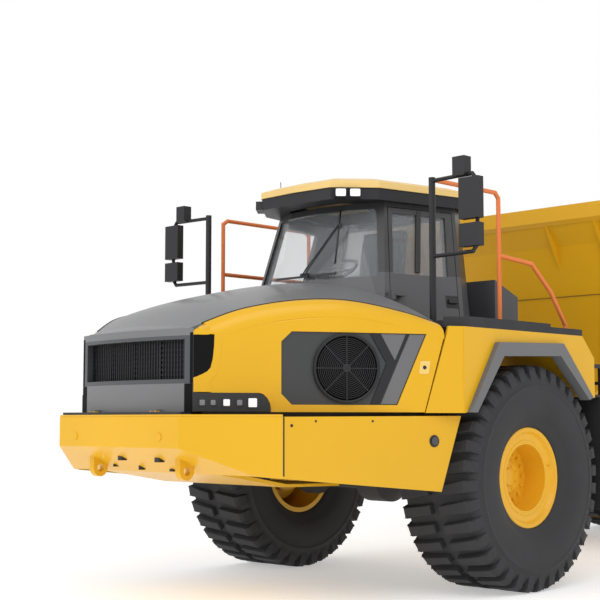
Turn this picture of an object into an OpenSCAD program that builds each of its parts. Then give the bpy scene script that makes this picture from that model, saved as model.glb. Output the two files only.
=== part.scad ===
// Articulated hauler on six wheels, with a tilting hood, a cab door and a tipping body.
// Forward is -Y, left is +X, up is +Z. All sizes are in millimetres.

/* [Overall] */
// Bumper face to tail lip
overall_length = 12040; // [11600:10:12600]
// Bumper face to front axle
front_overhang = 3350; // [3250:10:3500]
// Front axle to first bogie axle
axle_gap = 4900; // [4850:10:5000]
// First to second bogie axle
bogie_gap = 2140; // [2120:10:2200]
// Front axle back to the steering pivot
pivot_back = 1450; // [1420:10:1500]
// Distance between the wheel centre planes
track = 2960; // [2940:10:3000]

/* [Fits] */
// Gap between pieces that are fixed together
seat = 0.3; // [0.2:0.1:0.6]
// Gap round a pin or a rod
pin_gap = 0.6; // [0.4:0.1:0.9]
// Gap round a door, a hood or another moving panel
swing_gap = 8; // [6:1:12]

/* [Wheels] */
// Tyre diameter over the lugs
tyre_d = 2060; // [2040:10:2080]
// Tyre width
tyre_w = 840; // [820:10:860]
// Lugs round a tyre
lug_count = 17; // [15:2:17]
// Lug height above the tread base
lug_h = 55; // [45:5:65]
// Rim diameter over the flanges
rim_d = 914; // [900:2:930]
// Rim width over the flanges
rim_w = 600; // [580:10:620]
// Thickness of a rim flange
flange_t = 30; // [25:1:35]
// Height of a rim flange
flange_h = 25; // [20:1:30]
// Wall of the rim barrel
rim_wall = 22; // [18:1:28]
// Setback of the rim's ring face behind the outer flange
face_back = 30; // [25:1:40]
// Recess diameter in the ring face
recess_d = 610; // [580:10:640]
// Depth of the recess
dish = 220; // [200:10:230]
// Thickness of the wheel disc
disc_t = 28; // [24:1:32]
// Hub drum diameter
hub_d = 470; // [430:10:500]
// Hub drum length
hub_len = 150; // [140:5:160]
// Hub cap diameter
cap_d = 300; // [280:10:320]

/* [Axles] */
// Axle tube diameter
axle_d = 340; // [300:10:360]
// Axle drive housing diameter
diff_d = 580; // [540:10:600]
// Wheel spindle diameter
spindle_d = 220; // [200:10:240]
// Brake housing diameter
brake_d = 500; // [460:10:520]

/* [Frame] */
// Rail height
rail_h = 350; // [320:10:380]
// Rail width
rail_w = 120; // [100:10:130]
// Rail centre from the middle plane
rail_x = 450; // [440:5:460]
// Underside of the rails
rail_z = 1300; // [1290:5:1310]
// Steering pin diameter
pin_d = 180; // [160:10:200]
// Hitch shaft diameter
shaft_d = 320; // [300:10:340]

/* [Bumper] */
// Half width of the front face
bumper_half = 810; // [780:10:840]
// Plate thickness
bumper_t = 60; // [50:5:70]
// Top edge
bumper_top = 1580; // [1560:5:1590]
// Where the front face starts to slope back
bumper_knee = 1330; // [1300:10:1360]
// Lower edge
bumper_low = 1110; // [1090:10:1130]
// Setback of the lower edge
bumper_rake = 450; // [400:10:500]
// Half width at the corner seam
corner_half = 1380; // [1360:10:1400]
// Setback of the corner seam
corner_back = 610; // [590:10:630]
// Half width at the rear of the side panel
panel_half = 1780; // [1760:10:1800]
// Setback of the side panel's rear edge
panel_back = 2360; // [2340:10:2380]

/* [Hood] */
// Setback of the hood's front corners
hood_back = 200; // [190:5:220]
// Half width at the front corners
hood_half = 750; // [740:5:760]
// Angle of each hood side in plan
hood_flare = 28.3; // [27.8:0.1:28.8]
// Lower edge of the hood
hood_low = 1620; // [1610:5:1640]
// Panel thickness
hood_t = 45; // [40:5:55]
// Bulge of the nose in plan
nose_bulge = 90; // [70:5:100]
// Width of the rounded shoulder
shoulder_w = 100; // [90:5:110]
// Height of the rounded shoulder
shoulder_h = 140; // [130:5:150]
// Setback of the rear seam at the top
seam_back = 1960; // [1950:5:1970]
// Lean of the rear seam
seam_lean = 200; // [180:10:220]
// Fan guard diameter
fan_d = 580; // [560:10:590]

/* [Cab] */
// Deck plate top
deck_z = 2420; // [2410:5:2430]
// Deck plate thickness
deck_t = 60; // [50:5:70]
// Height of the cab walls above the deck
cab_h = 1200; // [1180:10:1210]
// Thickness of the cab walls and of the door
cab_wall_t = 60; // [50:5:65]
// Height of the roof with its cap
roof_h = 220; // [200:10:230]
// Height of the dark band under the roof cap
fascia_h = 110; // [100:5:120]
// Glass thickness
glass_t = 8; // [6:1:10]
// Outer face of the fenders from the middle plane
fender_half = 1880; // [1870:5:1890]
// Fender plate thickness
fender_t = 40; // [35:5:45]
// How far the arch trim stands out of the fender
trim_out = 50; // [40:5:60]
// Handrail tube diameter
rail_tube_d = 42; // [38:2:48]
// Mirror post diameter
post_d = 60; // [50:5:70]

/* [Tipping body] */
// Half width over the side walls
body_half = 1800; // [1780:10:1820]
// Half width of the flat floor
floor_half = 700; // [690:5:720]
// Underside of the flat floor
floor_z = 1950; // [1940:5:1970]
// Wall and floor thickness
body_t = 60; // [50:5:70]
// Top of the side walls
side_top = 3300; // [3260:10:3340]
// Top of the front wall
lip_top = 3870; // [3840:10:3890]
// Tipping hinge behind the second bogie axle
hinge_back = 450; // [430:10:470]
// Height of the tipping hinge
hinge_z = 1500; // [1490:5:1510]

/* [Cylinders] */
// Hoist barrel diameter
hoist_d = 200; // [180:10:210]
// Hoist rod diameter
hoist_rod_d = 120; // [110:5:130]
// Steering barrel diameter
steer_d = 130; // [120:5:140]
// Steering rod diameter
steer_rod_d = 70; // [60:5:80]

/* [Hidden] */
$fn = 48;
yellow = [0.90, 0.69, 0.19];
grey = [0.45, 0.46, 0.47];
dark = [0.25, 0.25, 0.27];
black = [0.10, 0.10, 0.11];
orange = [0.85, 0.42, 0.18];

// Places along the machine
y_nose = -overall_length / 2;
y_tail = overall_length / 2;
ya = y_nose + front_overhang;
yb = ya + axle_gap;
yc = yb + bogie_gap;
y_pivot = ya + pivot_back;
y_hinge = yc + hinge_back;
y_tailbar = y_hinge - 80;
z_axle = tyre_d / 2;
rail_top = rail_z + rail_h;
rail_out = rail_x + rail_w / 2;
rail_in = rail_x - rail_w / 2;
z_shaft = rail_z;
wheel_x = track / 2;
disc_z = rim_w / 2 - face_back - dish;
hub_end = 15;
brake_w = 130;
tow_d = 150;
tow_bore = 70;
tow_w = 60;
tow_x = 585;
tow_y = y_nose + 260;
tow_z = 1140;
belly_z = 985;
diff_w = 270;

// Hood outline: setbacks, edge heights and crown heights of five sections
y_hood = y_nose + hood_back;
y_seam = y_hood + seam_back;
y_return = y_hood + 130;
notch = [[-60, 1845], [110, 1860], [185, 1910], [222, 2000], [232, 2130], [236, 2250], [-60, 2250]];
hood_steps = [0, 430, 1120, 1680, seam_back + 60];
hood_edge = [2285, 2470, 2565, 2470, 2355];
hood_crown = [2330, 2550, 2735, 2830, 2850];
y_pin = y_nose + 75;
z_pin = hood_low - 10;
knuckle_x = 400;
knuckle_w = 36;
hood_pin_d = 24;
nose_r = (hood_half * hood_half + nose_bulge * nose_bulge) / (2 * nose_bulge);
nose_top = 1850;
grille_low = nose_top + seat;
grille_top = hood_edge[0] - hood_t - seat;
grille_half = 665;
lamp_top = 1775;
lamp_len = 610;

// Cab outline: half plans at the deck and at the roof, measured from the front axle
cab_z = deck_z + seat;
cab_low = [[480, ya - 1165], [930, ya - 1010], [1140, ya - 90], [1030, ya + 150]];
cab_top = [[400, ya - 900], [710, ya - 755], [900, ya + 70], [820, ya + 250]];
cab_nose = [ya - 1230, ya - 950];
cab_tail = [ya + 210, ya + 290];
sill_z = deck_z + 60;
belt_z = deck_z + 470;
head_z = deck_z + cab_h - 60;
x_door = 965;
y_door = ya - 930;
door_hinges = [[deck_z + 130, 39], [deck_z + 300, 68]];
door_pin_d = 26;
door_eye_d = 52;

// Front wheel arch about the front axle
arch = [[-1030, 1620], [-620, 2240], [390, 2270], [880, 1770]];
arch_in = [[-945, 1620], [-550, 2120], [340, 2150], [810, 1745]];
fender_low = 1615;
y_mirror = ya - 1030;
kick_h = 31;
fender_top = deck_z - deck_t - seat;
liner_t = 30;

// Hitch and cylinder pins
ear_x = 560;
ear_back = 60;
base_x = 660;
base_front = 1300;
steer_pin_d = 50;
steer_throw = 400;
hoist_x = 640;
hoist_pin_d = 90;
tip_pin_d = 100;
hoist_base = [y_hinge - 1520, 1200];
hoist_eye = [y_hinge - 3720, 1850];
hoist_len = norm(hoist_eye - hoist_base);
hoist_tilt = atan2(hoist_eye[1] - hoist_base[1], hoist_base[0] - hoist_eye[0]);
steer_run = [ear_x - base_x, base_front + ear_back];
steer_len = norm(steer_run);
steer_tilt = atan2(-steer_run[0], steer_run[1]);
steer_barrel_len = steer_len - steer_throw - 66;
steer_rod_start = steer_barrel_len - steer_throw - 10;
steer_neck_d = 85;
steer_neck_len = 75;

// Front wall of the tipping body leans forward as it rises
wall_low_z = 1780;
wall_low_y = yb - 2190;
lip_low = lip_top - 170;
lip_y = yb - 2980;
fold_z = [2920, 3460];
fold_y = [yb - 2621, yb - 2790];
wall_steps = [[wall_low_z, wall_low_y], [fold_z[0], fold_y[0]], [fold_z[1], fold_y[1]], [lip_low, lip_y],
    [lip_top, lip_y]];
chute_rise = 330;
side_low = 2370;
rib_y = [for (i = [0:4]) yb - 1880 + 950 * i];
y_cap = yb - 1580;
rib_w = 130;
gusset_x = [690, 1300];
gusset_t = 30;

function side_x(y) = hood_half + tan(hood_flare) * (y - y_hood);
function edge_at(s) = hood_edge[0] + (hood_edge[1] - hood_edge[0]) * s / hood_steps[1];
function side_s(y) = (y - y_hood) / cos(hood_flare);
function wall_y(z) = lookup(z, wall_steps);
function mirrored(half) = concat(half, [for (i = [len(half) - 1:-1:0]) [-half[i][0], half[i][1]]]);
function shifted(pts, dy) = [for (p = pts) [p[0] + dy, p[1]]];

// Both sides of the machine
module pair() {
    children();
    mirror([1, 0, 0])
        children();
}

// A box from its low corner to its high corner
module block(a, b) {
    translate(a)
        cube(b - a);
}

// A profile drawn in (y, z) and carried across the machine from x0 to x1
module across(x0, x1) {
    translate([x0, 0, 0])
        rotate([90, 0, 90])
            linear_extrude(x1 - x0)
                children();
}

// A profile drawn in (distance along the hood side, z), carried from t0 to t1 outward
module on_side(t0, t1) {
    translate([hood_half, y_hood, 0])
        rotate([0, 0, 90 - hood_flare])
            rotate([90, 0, 0])
                translate([0, 0, t0])
                    linear_extrude(t1 - t0)
                        children();
}

// A round bar between two points
module bar(a, b, d) {
    v = b - a;
    translate(a)
        rotate([0, acos(v[2] / norm(v)), atan2(v[1], v[0])])
            cylinder(d = d, h = norm(v));
}

// A bent tube through a list of points
module tube(pts, d) {
    for (i = [0:len(pts) - 2])
        bar(pts[i], pts[i + 1], d);
    for (i = [1:len(pts) - 2])
        translate(pts[i])
            sphere(d = d + 2);
}

// A shell strip through sections; each section is a list of outer and a list of inner points
module strip_loft(secs) {
    n = len(secs);
    m = len(secs[0][0]);
    pts = [for (s = secs) for (side = s) for (p = side) p];
    function at(i, side, k) = (i * 2 + side) * m + k;
    outer = [for (i = [0:n - 2]) for (k = [0:m - 2])
        [at(i, 0, k), at(i, 0, k + 1), at(i + 1, 0, k + 1), at(i + 1, 0, k)]];
    inner = [for (i = [0:n - 2]) for (k = [0:m - 2])
        [at(i, 1, k), at(i + 1, 1, k), at(i + 1, 1, k + 1), at(i, 1, k + 1)]];
    low = [for (i = [0:n - 2]) [at(i, 0, 0), at(i + 1, 0, 0), at(i + 1, 1, 0), at(i, 1, 0)]];
    high = [for (i = [0:n - 2])
        [at(i, 0, m - 1), at(i, 1, m - 1), at(i + 1, 1, m - 1), at(i + 1, 0, m - 1)]];
    front = [for (k = [0:m - 2]) [at(0, 0, k), at(0, 1, k), at(0, 1, k + 1), at(0, 0, k + 1)]];
    back = [for (k = [0:m - 2])
        [at(n - 1, 0, k), at(n - 1, 0, k + 1), at(n - 1, 1, k + 1), at(n - 1, 1, k)]];
    quads = concat(outer, inner, low, high, front, back);
    polyhedron(pts, [for (q = quads) for (f = [[q[0], q[1], q[2]], [q[0], q[2], q[3]]]) f]);
}

// Front unit
module front_frame() {
    y_horn = y_nose + bumper_t + seat;
    y_head = y_pivot - 530;
    lug_z = [950, rail_top - 90];
    color(dark) {
        difference() {
            union() {
                pair() {
                    block([rail_in, y_horn, bumper_knee + 50], [rail_out, y_head, bumper_top - 20]);
                    block([rail_in, y_hood + 300, rail_z], [rail_out, y_head, rail_top]);
                    for (y = [ya - 730, ya + 620])
                        block([rail_in, y - 80, rail_top - 10], [rail_out, y + 80, deck_z - deck_t - seat]);
                }
                for (y = [y_hood + 330, ya - 2200, ya - 1380])
                    block([-rail_in - 10, y, rail_z], [rail_in + 10, y + 120, rail_z + 120]);
                block([-rail_out, y_head - 100, lug_z[0]], [rail_out, y_head, rail_top]);
                for (z = lug_z) {
                    block([-220, y_head - 10, z], [220, y_pivot, z + 90]);
                    translate([0, y_pivot, z])
                        cylinder(r = 220, h = 90);
                }
                pair() {
                    block([rail_in, y_pivot - base_front - 60, z_shaft - 90],
                        [base_x + 45, y_pivot - base_front + 60, z_shaft - 45 - pin_gap]);
                    block([rail_in, y_pivot - base_front - 60, z_shaft - 60],
                        [rail_out, y_pivot - base_front + 60, rail_z + 10]);
                    translate([base_x, y_pivot - base_front, z_shaft - 70])
                        cylinder(d = steer_pin_d, h = 125);
                }
            }
            translate([0, y_pivot, 0])
                cylinder(d = pin_d + 2 * pin_gap, h = 3 * rail_top);
        }
    }
}

module axle_at(y) {
    tip = wheel_x + disc_z - hub_end - 10;
    brake_x = wheel_x - tyre_w / 2 - 160;
    half = [[0, tip], [spindle_d / 2, tip], [spindle_d / 2, brake_x + brake_w],
        [brake_d / 2, brake_x + brake_w], [brake_d / 2, brake_x],
        [axle_d / 2, brake_x], [axle_d / 2, diff_w], [diff_d / 2, diff_w / 2]];
    translate([0, y, z_axle])
        rotate([0, 90, 0])
            rotate_extrude($fn = 96)
                polygon(both_ends(half));
}

module front_axle() {
    color(dark) {
        axle_at(ya);
        pair()
            block([rail_in, ya - 140, z_axle], [rail_out, ya + 80, rail_z - seat]);
    }
}

module engine() {
    color(dark)
        block([-rail_in + 25, ya - 2300, rail_z + 120 + seat], [rail_in - 25, ya - 1260, 2250]);
}

module bumper_plan(inset) {
    polygon(mirrored([[bumper_half - inset * 0.45, y_nose + inset],
        [corner_half - inset * 0.9, y_nose + corner_back]]));
}

module bumper() {
    low_y = y_nose + bumper_rake;
    color(yellow)
        difference() {
            bumper_shell(low_y);
            pair()
                translate([tow_x, tow_y, tow_z])
                    rotate([0, 90, 0])
                        cylinder(d = tow_bore, h = tow_w + 20, center = true);
        }
}

module bumper_shell(low_y) {
    intersection() {
        linear_extrude(bumper_top)
            difference() {
                bumper_plan(0);
                bumper_plan(bumper_t);
            }
        across(-corner_half, corner_half)
            polygon([[y_nose, bumper_top], [y_nose, bumper_knee], [low_y, bumper_low],
                [y_nose + corner_back - seat, bumper_low - 20],
                [y_nose + corner_back - seat, bumper_top]]);
    }
    intersection() {
        across(-corner_half, corner_half)
            polygon([[y_nose, bumper_knee + 40], [y_nose, bumper_knee], [low_y, bumper_low],
                [low_y + 40, bumper_low], [low_y + 40, bumper_low + 50]]);
        linear_extrude(bumper_top)
            bumper_plan(0);
    }
    across(-bumper_half, bumper_half)
        polygon([[low_y, bumper_low], [ya - 2160, belly_z], [ya - 1500, belly_z - 10],
            [ya - 1500, belly_z + 15], [ya - 2150, belly_z + 25], [low_y + 40, bumper_low + 30]]);
    pair() {
        for (x = [knuckle_x - 24, knuckle_x + knuckle_w + 4])
            block([x, y_pin - 20, bumper_top - 20], [x + 20, y_pin + 20, z_pin + 20]);
        intersection() {
            hood_axis(0);
            block([knuckle_x - 24, y_nose, 0], [knuckle_x + knuckle_w + 24, y_hood, 3000]);
        }
    }
    pair()
        translate([tow_x, tow_y, tow_z])
            rotate([0, 90, 0])
                tow_ear();
}

module tow_ear() {
    cylinder(d = tow_d, h = tow_w, center = true);
    translate([-110, -tow_d / 2, -tow_w / 2])
        cube([110, tow_d, tow_w]);
}

module side_panels() {
    run = [panel_half - corner_half, panel_back - corner_back];
    length = norm(run);
    color(yellow)
        pair()
            translate([corner_half, y_nose + corner_back, 0])
                rotate([0, 0, atan2(run[1], run[0])])
                    rotate([90, 0, 0])
                        translate([0, 0, -50])
                            linear_extrude(50)
                                polygon([[0, bumper_low - 20], [length - 220, 945], [length, 1590],
                                    [0, bumper_top]]);
}

function arch_ring(out) = [for (p = arch) [ya + p[0] + (p[0] < 0 ? -0.3 : 0.3) * out, p[1] + out]];

module fenders() {
    y_corner = y_hood + (fender_half - hood_half) / tan(hood_flare);
    s_end = side_s(y_corner);
    color(yellow)
        pair() {
            on_side(-fender_t, 0)
                polygon([[side_s(y_seam - seam_lean + 6 + swing_gap), fender_low], [s_end, fender_low],
                    [s_end, fender_top], [side_s(y_seam + swing_gap), fender_top]]);
            across(fender_half - fender_t, fender_half)
                polygon(concat([[y_corner - 15, fender_low]], shifted(arch, ya),
                    [[ya + 980, 1770], [ya + 980, 2150], [ya + 780, fender_top],
                    [y_corner - 15, fender_top]]));
            across(wheel_x - tyre_w / 2 - 20, fender_half - fender_t / 2)
                polygon(concat(arch_ring(8), [for (i = [3:-1:0]) arch_ring(8 + liner_t)[i]]));
        }
}

module arch_trims() {
    inside = shifted(arch_in, ya);
    color(grey)
        pair()
            across(fender_half - fender_t - 20, fender_half + trim_out)
                polygon(concat([for (p = arch) [ya + p[0] + (p[0] < 0 ? seat : -seat), p[1] - 2 * seat]],
                    [for (i = [len(inside) - 1:-1:0]) inside[i]]));
}

module mudflaps() {
    y0 = ya + 980 + seat;
    color(black)
        pair() {
            block([wheel_x - tyre_w / 2 + 60, y0 + 110, 700], [fender_half - 10, y0 + 135, 1800]);
            block([wheel_x - tyre_w / 2 + 60, y0, 1776], [fender_half - 10, y0 + 120, 1800]);
        }
}

module deck() {
    x_edge = fender_half;
    color(black) {
        translate([0, 0, deck_z - deck_t])
            linear_extrude(deck_t)
                polygon(mirrored([[1000, ya - 800], [1000, ya - 1120], [1700, ya - 1120],
                    [x_edge, ya - 960], [x_edge, ya + 780]]));
        pair()
            translate([0, 0, deck_z - 1])
                linear_extrude(kick_h)
                    polygon([[1700, ya - 1120], [x_edge, ya - 960], [x_edge, ya + 250],
                        [x_edge - 14, ya + 250], [x_edge - 14, ya - 954], [1692, ya - 1106]]);
    }
}

module ladder() {
    steps = 5;
    y0 = ya + 1150;
    x0 = wheel_x - 250;
    x1 = fender_half - fender_t - seat;
    color(black) {
        for (x = [x0, x1 - 30])
            block([x, y0, 560], [x + 30, y0 + 90, 2100]);
        for (i = [0:steps - 1])
            block([x0, y0 - 10, 580 + 330 * i], [x1, y0 + 140, 610 + 330 * i]);
        block([x1 - 30, ya + 780 + seat, 2100 - 40], [x1, y0 + 90, 2100]);
        block([x0, ya + 780 + seat, 2100 - 40], [x0 + 30, y0 + 90, 2100]);
        block([x0, ya + 780 + seat, 2060], [x1, ya + 810, deck_z]);
    }
}

module handrails() {
    d = rail_tube_d;
    z0 = deck_z + seat;
    x = fender_half - 360;
    color(orange) {
        tube([[x, ya - 50, z0], [x, ya - 50, 3640], [x, ya - 100, 3690],
            [x, y_mirror + post_d / 2 + seat, 3690]], d);
        tube([[x, ya - 50, 3095], [x + 200, ya + 190, 3020], [x + 200, ya + 500, 2770],
            [x + 200, ya + 735, 2470], [x + 200, ya + 735, z0]], d);
        tube([[-x, ya - 820, z0], [-x, ya - 820, 3640], [-x, ya - 760, 3680], [-x, ya + 420, 3680],
            [-x, ya + 480, 3640], [-x, ya + 480, z0]], d);
        bar([-x, ya - 820, 3100], [-x, ya + 480, 3100], d);
    }
}

// Cab
module cab_form(inset) {
    bottom = mirrored(concat([[0, cab_nose[0]]], cab_low, [[0, cab_tail[0]]]));
    top = mirrored(concat([[0, cab_nose[1]]], cab_top, [[0, cab_tail[1]]]));
    hull() {
        translate([0, 0, cab_z])
            linear_extrude(1)
                offset(delta = -inset)
                    polygon(bottom);
        translate([0, 0, deck_z + cab_h - 1])
            linear_extrude(1)
                offset(delta = -inset)
                    polygon(top);
    }
}

module cab_walls() {
    difference() {
        cab_form(0);
        cab_form(cab_wall_t);
    }
}

module door_zone(gap) {
    across(400, 1500)
        polygon([[ya - 930 + gap, sill_z + gap], [ya - 130 - gap, sill_z + gap],
            [ya + 25 - gap, head_z + 20 - gap], [ya - 735 + gap, head_z + 20 - gap]]);
}

module side_window(x0, x1, gap) {
    across(x0, x1)
        polygon([[ya - 810 + gap, belt_z + 30 + gap], [ya - 170 - gap, belt_z + 30 + gap],
            [ya - 70 - gap, head_z - 40 - gap], [ya - 690 + gap, head_z - 40 - gap]]);
}

module end_window(y0, y1, low, high, gap) {
    translate([0, y1, 0])
        rotate([90, 0, 0])
            linear_extrude(y1 - y0)
                polygon(mirrored([[low - gap, belt_z + gap], [high - gap, head_z - gap]]));
}

module cab_openings(gap) {
    end_window(ya - 1400, ya - 790, 790, 650, gap);
    end_window(ya, ya + 400, 760, 680, gap);
    side_window(-1500, -400, gap);
}

// Cab half of a door hinge
module door_ear(z) {
    block([830, y_door - 24, z - 60], [x_door, y_door - 1, z - 22]);
    translate([x_door, y_door, z - 60])
        cylinder(d = door_eye_d, h = 38);
    translate([x_door, y_door, z - 40])
        cylinder(d = door_pin_d, h = 60);
}

// Door half of a door hinge
module door_knuckle(z, reach) {
    difference() {
        union() {
            block([x_door - reach, y_door, z - 20], [x_door + door_eye_d / 2, y_door + 100 + reach, z + 20]);
            translate([x_door, y_door, z - 20])
                cylinder(d = door_eye_d, h = 40);
        }
        translate([x_door, y_door, z - 30])
            cylinder(d = door_pin_d + 2 * pin_gap, h = 60);
    }
}

module cab_shell() {
    color(dark) {
        for (h = door_hinges)
            door_ear(h[0]);
        difference() {
            cab_walls();
            cab_openings(0);
            door_zone(0);
        }
        intersection() {
            cab_form(cab_wall_t - 5);
            block([-1500, ya - 1500, cab_z], [1500, ya + 500, cab_z + 40]);
        }
    }
}

roof_front = [460, ya - 1240];
roof_corner = [770, ya - 900];

function roof_outline() = mirrored([[0, ya - 1270], roof_front, roof_corner, [960, ya + 60],
    [860, ya + 300], [0, ya + 340]]);

module cab_roof() {
    z0 = deck_z + cab_h + seat;
    color(dark)
        translate([0, 0, z0])
            linear_extrude(fascia_h)
                difference() {
                    polygon(roof_outline());
                    offset(delta = -260)
                        polygon(roof_outline());
                }
}

module roof_cap() {
    z0 = deck_z + cab_h + fascia_h + 2 * seat;
    color(yellow)
        hull() {
            translate([0, 0, z0])
                linear_extrude(roof_h - fascia_h - 50)
                    offset(delta = 15)
                        polygon(roof_outline());
            translate([0, 0, z0])
                linear_extrude(roof_h - fascia_h)
                    offset(delta = -130)
                        polygon(roof_outline());
        }
}

module cab_glass() {
    color([0.6, 0.7, 0.75, 0.4])
        intersection() {
            difference() {
                cab_form(20);
                cab_form(20 + glass_t);
            }
            cab_openings(seat);
        }
}

module door() {
    color(dark) {
        difference() {
            intersection() {
                cab_walls();
                door_zone(swing_gap);
            }
            side_window(400, 1500, 0);
        }
        for (h = door_hinges)
            door_knuckle(h[0], h[1]);
    }
}

module door_glass() {
    color([0.6, 0.7, 0.75, 0.4])
        intersection() {
            difference() {
                cab_form(20);
                cab_form(20 + glass_t);
            }
            side_window(400, 1500, seat);
        }
}

module cab_interior() {
    floor_top = cab_z + 40 + seat;
    color(black) {
        block([-200, ya - 420, floor_top], [200, ya - 60, floor_top + 260]);
        block([-260, ya - 500, floor_top + 260], [260, ya + 20, floor_top + 400]);
        across(-260, 260)
            polygon([[ya - 80, floor_top + 390], [ya + 40, floor_top + 390], [ya + 120, floor_top + 1020],
                [ya + 30, floor_top + 1020]]);
        block([-450, ya - 960, floor_top], [450, ya - 860, floor_top + 330]);
        bar([0, ya - 880, floor_top + 250], [0, ya - 660, floor_top + 560], 60);
        translate([0, ya - 660, floor_top + 560])
            rotate([35, 0, 0]) {
                rotate_extrude()
                    translate([210, 0])
                        circle(d = 32);
                rotate([0, 90, 0])
                    cylinder(d = 26, h = 420, center = true);
            }
    }
}

module roof_lamps() {
    edge = roof_corner - roof_front;
    color(black)
        pair()
            for (s = [40, 175])
                translate([roof_front[0], roof_front[1], deck_z + cab_h + 10])
                    rotate([0, 0, atan2(edge[1], edge[0])])
                        translate([s, -70 - seat, 0])
                            cube([110, 70, 85]);
}

module mirrors() {
    x = fender_half - 365;
    y = y_mirror;
    color(black)
        pair() {
            bar([x, y, deck_z + seat], [x, y, 3710], post_d);
            tube([[x, y, 3680], [x + 480, y - 40, 3680], [x + 530, y - 40, 3620], [x + 530, y - 40, 3060],
                [x + 480, y - 40, 3000], [x, y, 3000]], 36);
            block([x + 380, y - 110, 3280], [x + 590, y - 30, 3640]);
            block([x + 380, y - 110, 3040], [x + 590, y - 30, 3240]);
            block([x + 300, y - 90, 3670], [x + 430, y + 10, 3840]);
        }
}

module tank() {
    color(dark)
        across(-1150, 1150)
            polygon([[ya + 380, deck_z + seat], [ya + 760, deck_z + seat], [ya + 760, 2780],
                [ya + 380, 2930]]);
}

// Hood, drawn shut
module hood_cut() {
    difference() {
        children();
        across(-2500, 2500)
            polygon([[y_seam - seam_lean, hood_low - 100], [y_seam - seam_lean, hood_low - 20],
                [y_seam, 2400], [y_seam, 3200], [y_seam + 900, 3200], [y_seam + 900, hood_low - 100]]);
    }
}

module intake_shape(gap) {
    polygon([[830 + gap, 1680 + gap], [1760 - gap, 1680 + gap], [2030 - gap, 2286 - gap],
        [830 + gap, 2286 - gap], [740 + gap, 2200 - gap], [740 + gap, 1770 + gap]]);
}

module hood_sides() {
    function edge(i) = [side_x(y_hood + hood_steps[i]), y_hood + hood_steps[i], hood_edge[i]];
    function section(x, y, z) = [
        [[x, y, hood_low], [x, y, z - shoulder_h], [x - 0.3 * shoulder_w, y, z - 0.35 * shoulder_h],
            [x - shoulder_w, y, z]],
        [[x - hood_t, y, hood_low], [x - hood_t, y, z - shoulder_h - 10],
            [x - 0.3 * shoulder_w - hood_t, y, z - 0.35 * shoulder_h - 25],
            [x - shoulder_w, y, z - hood_t]]];
    start = [side_x(y_return), y_return, edge_at(y_return - y_hood)];
    color(yellow)
        pair()
            hood_cut()
                difference() {
                    strip_loft(concat([section(start[0], start[1], start[2])],
                        [for (i = [1:4]) section(edge(i)[0], edge(i)[1], edge(i)[2])]));
                    on_side(-200, 100)
                        polygon([[-50, hood_low - 50], [lamp_len + 50, hood_low - 50],
                            [lamp_len, lamp_top + seat], [-50, lamp_top + seat]]);
                    on_side(-300, 100)
                        intake_shape(0);
                    on_side(-300, 100)
                        polygon(notch);
                }
}

module hood_top() {
    function half(i) = side_x(y_hood + hood_steps[i]) - shoulder_w - seat;
    function row(i, drop) = let (x = half(i), e = hood_edge[i], c = hood_crown[i], y = y_hood + hood_steps[i])
        [[x, y, e - drop], [0.66 * x, y, e + 0.55 * (c - e) - drop], [0.33 * x, y, e + 0.88 * (c - e) - drop],
            [0, y, c - drop], [-0.33 * x, y, e + 0.88 * (c - e) - drop],
            [-0.66 * x, y, e + 0.55 * (c - e) - drop], [-x, y, e - drop]];
    color(grey) {
        hood_cut()
            strip_loft([for (i = [0:4]) [row(i, 0), row(i, hood_t)]]);
        nose_ring(hood_edge[0] - hood_t, hood_edge[0] + 12, 0, 110);
        difference() {
            union() {
                nose_ring(hood_low, nose_top, 0, 50);
                pair()
                    hood_knuckle();
            }
            hood_axis(pin_gap);
        }
    }
}

// Hinge knuckle on the hood's nose
module hood_knuckle() {
    block([knuckle_x, y_pin, z_pin], [knuckle_x + knuckle_w, y_hood - 40, z_pin + 30]);
    translate([knuckle_x, y_pin, z_pin])
        rotate([0, 90, 0])
            cylinder(d = 44, h = knuckle_w);
}

module hood_axis(gap) {
    translate([0, y_pin, z_pin])
        rotate([0, 90, 0])
            cylinder(d = hood_pin_d + 2 * gap, h = 2 * (knuckle_x + knuckle_w + 30), center = true);
}

// Curved nose plate between two depths behind its front face
module nose_ring(z0, z1, d0, d1) {
    translate([0, 0, z0])
        linear_extrude(z1 - z0)
            intersection() {
                difference() {
                    translate([0, y_hood - nose_bulge + nose_r])
                        circle(r = nose_r - d0, $fn = 200);
                    translate([0, y_hood - nose_bulge + nose_r])
                        circle(r = nose_r - d1, $fn = 200);
                }
                translate([-hood_half, y_hood - nose_bulge - 10])
                    square([2 * hood_half, nose_bulge + d1 + 10]);
            }
}

module grille_frame() {
    color(dark) {
        difference() {
            nose_ring(grille_low, grille_top, 0, 60);
            block([-grille_half, y_hood - 300, grille_low + 35],
                [grille_half, y_hood + 300, grille_top - 30]);
        }
        pair()
            difference() {
                on_side(-60, 0)
                    polygon([[5, grille_low], [side_s(y_return), grille_low],
                        [side_s(y_return), grille_top], [5, grille_top]]);
                block([0, y_return - seat, 0], [2000, y_return + 200, 3000]);
                translate([0, y_hood - nose_bulge + nose_r, 0])
                    cylinder(r = nose_r - 60, h = 3000, $fn = 200);
            }
        pair()
            on_side(-45, -12)
                intersection() {
                    offset(delta = -seat)
                        polygon(notch);
                    translate([side_s(y_return) - 20, grille_low])
                        square([300, grille_top - grille_low]);
                }
    }
}

module grille() {
    rows = 8;
    z0 = grille_low + 35;
    pitch = (grille_top - 30 - z0) / rows;
    color(black)
        union() {
            difference() {
                nose_ring(grille_low, grille_top, 60 + seat, 85);
                for (i = [0:rows - 1])
                    for (x = [-1.5:1:1.5])
                        translate([x * grille_half / 2, y_hood, z0 + (i + 0.5) * pitch])
                            cube([grille_half / 2 - 25, 600, pitch - 16], center = true);
            }
            nose_ring(grille_low, grille_top, 84, 92);
        }
}

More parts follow.
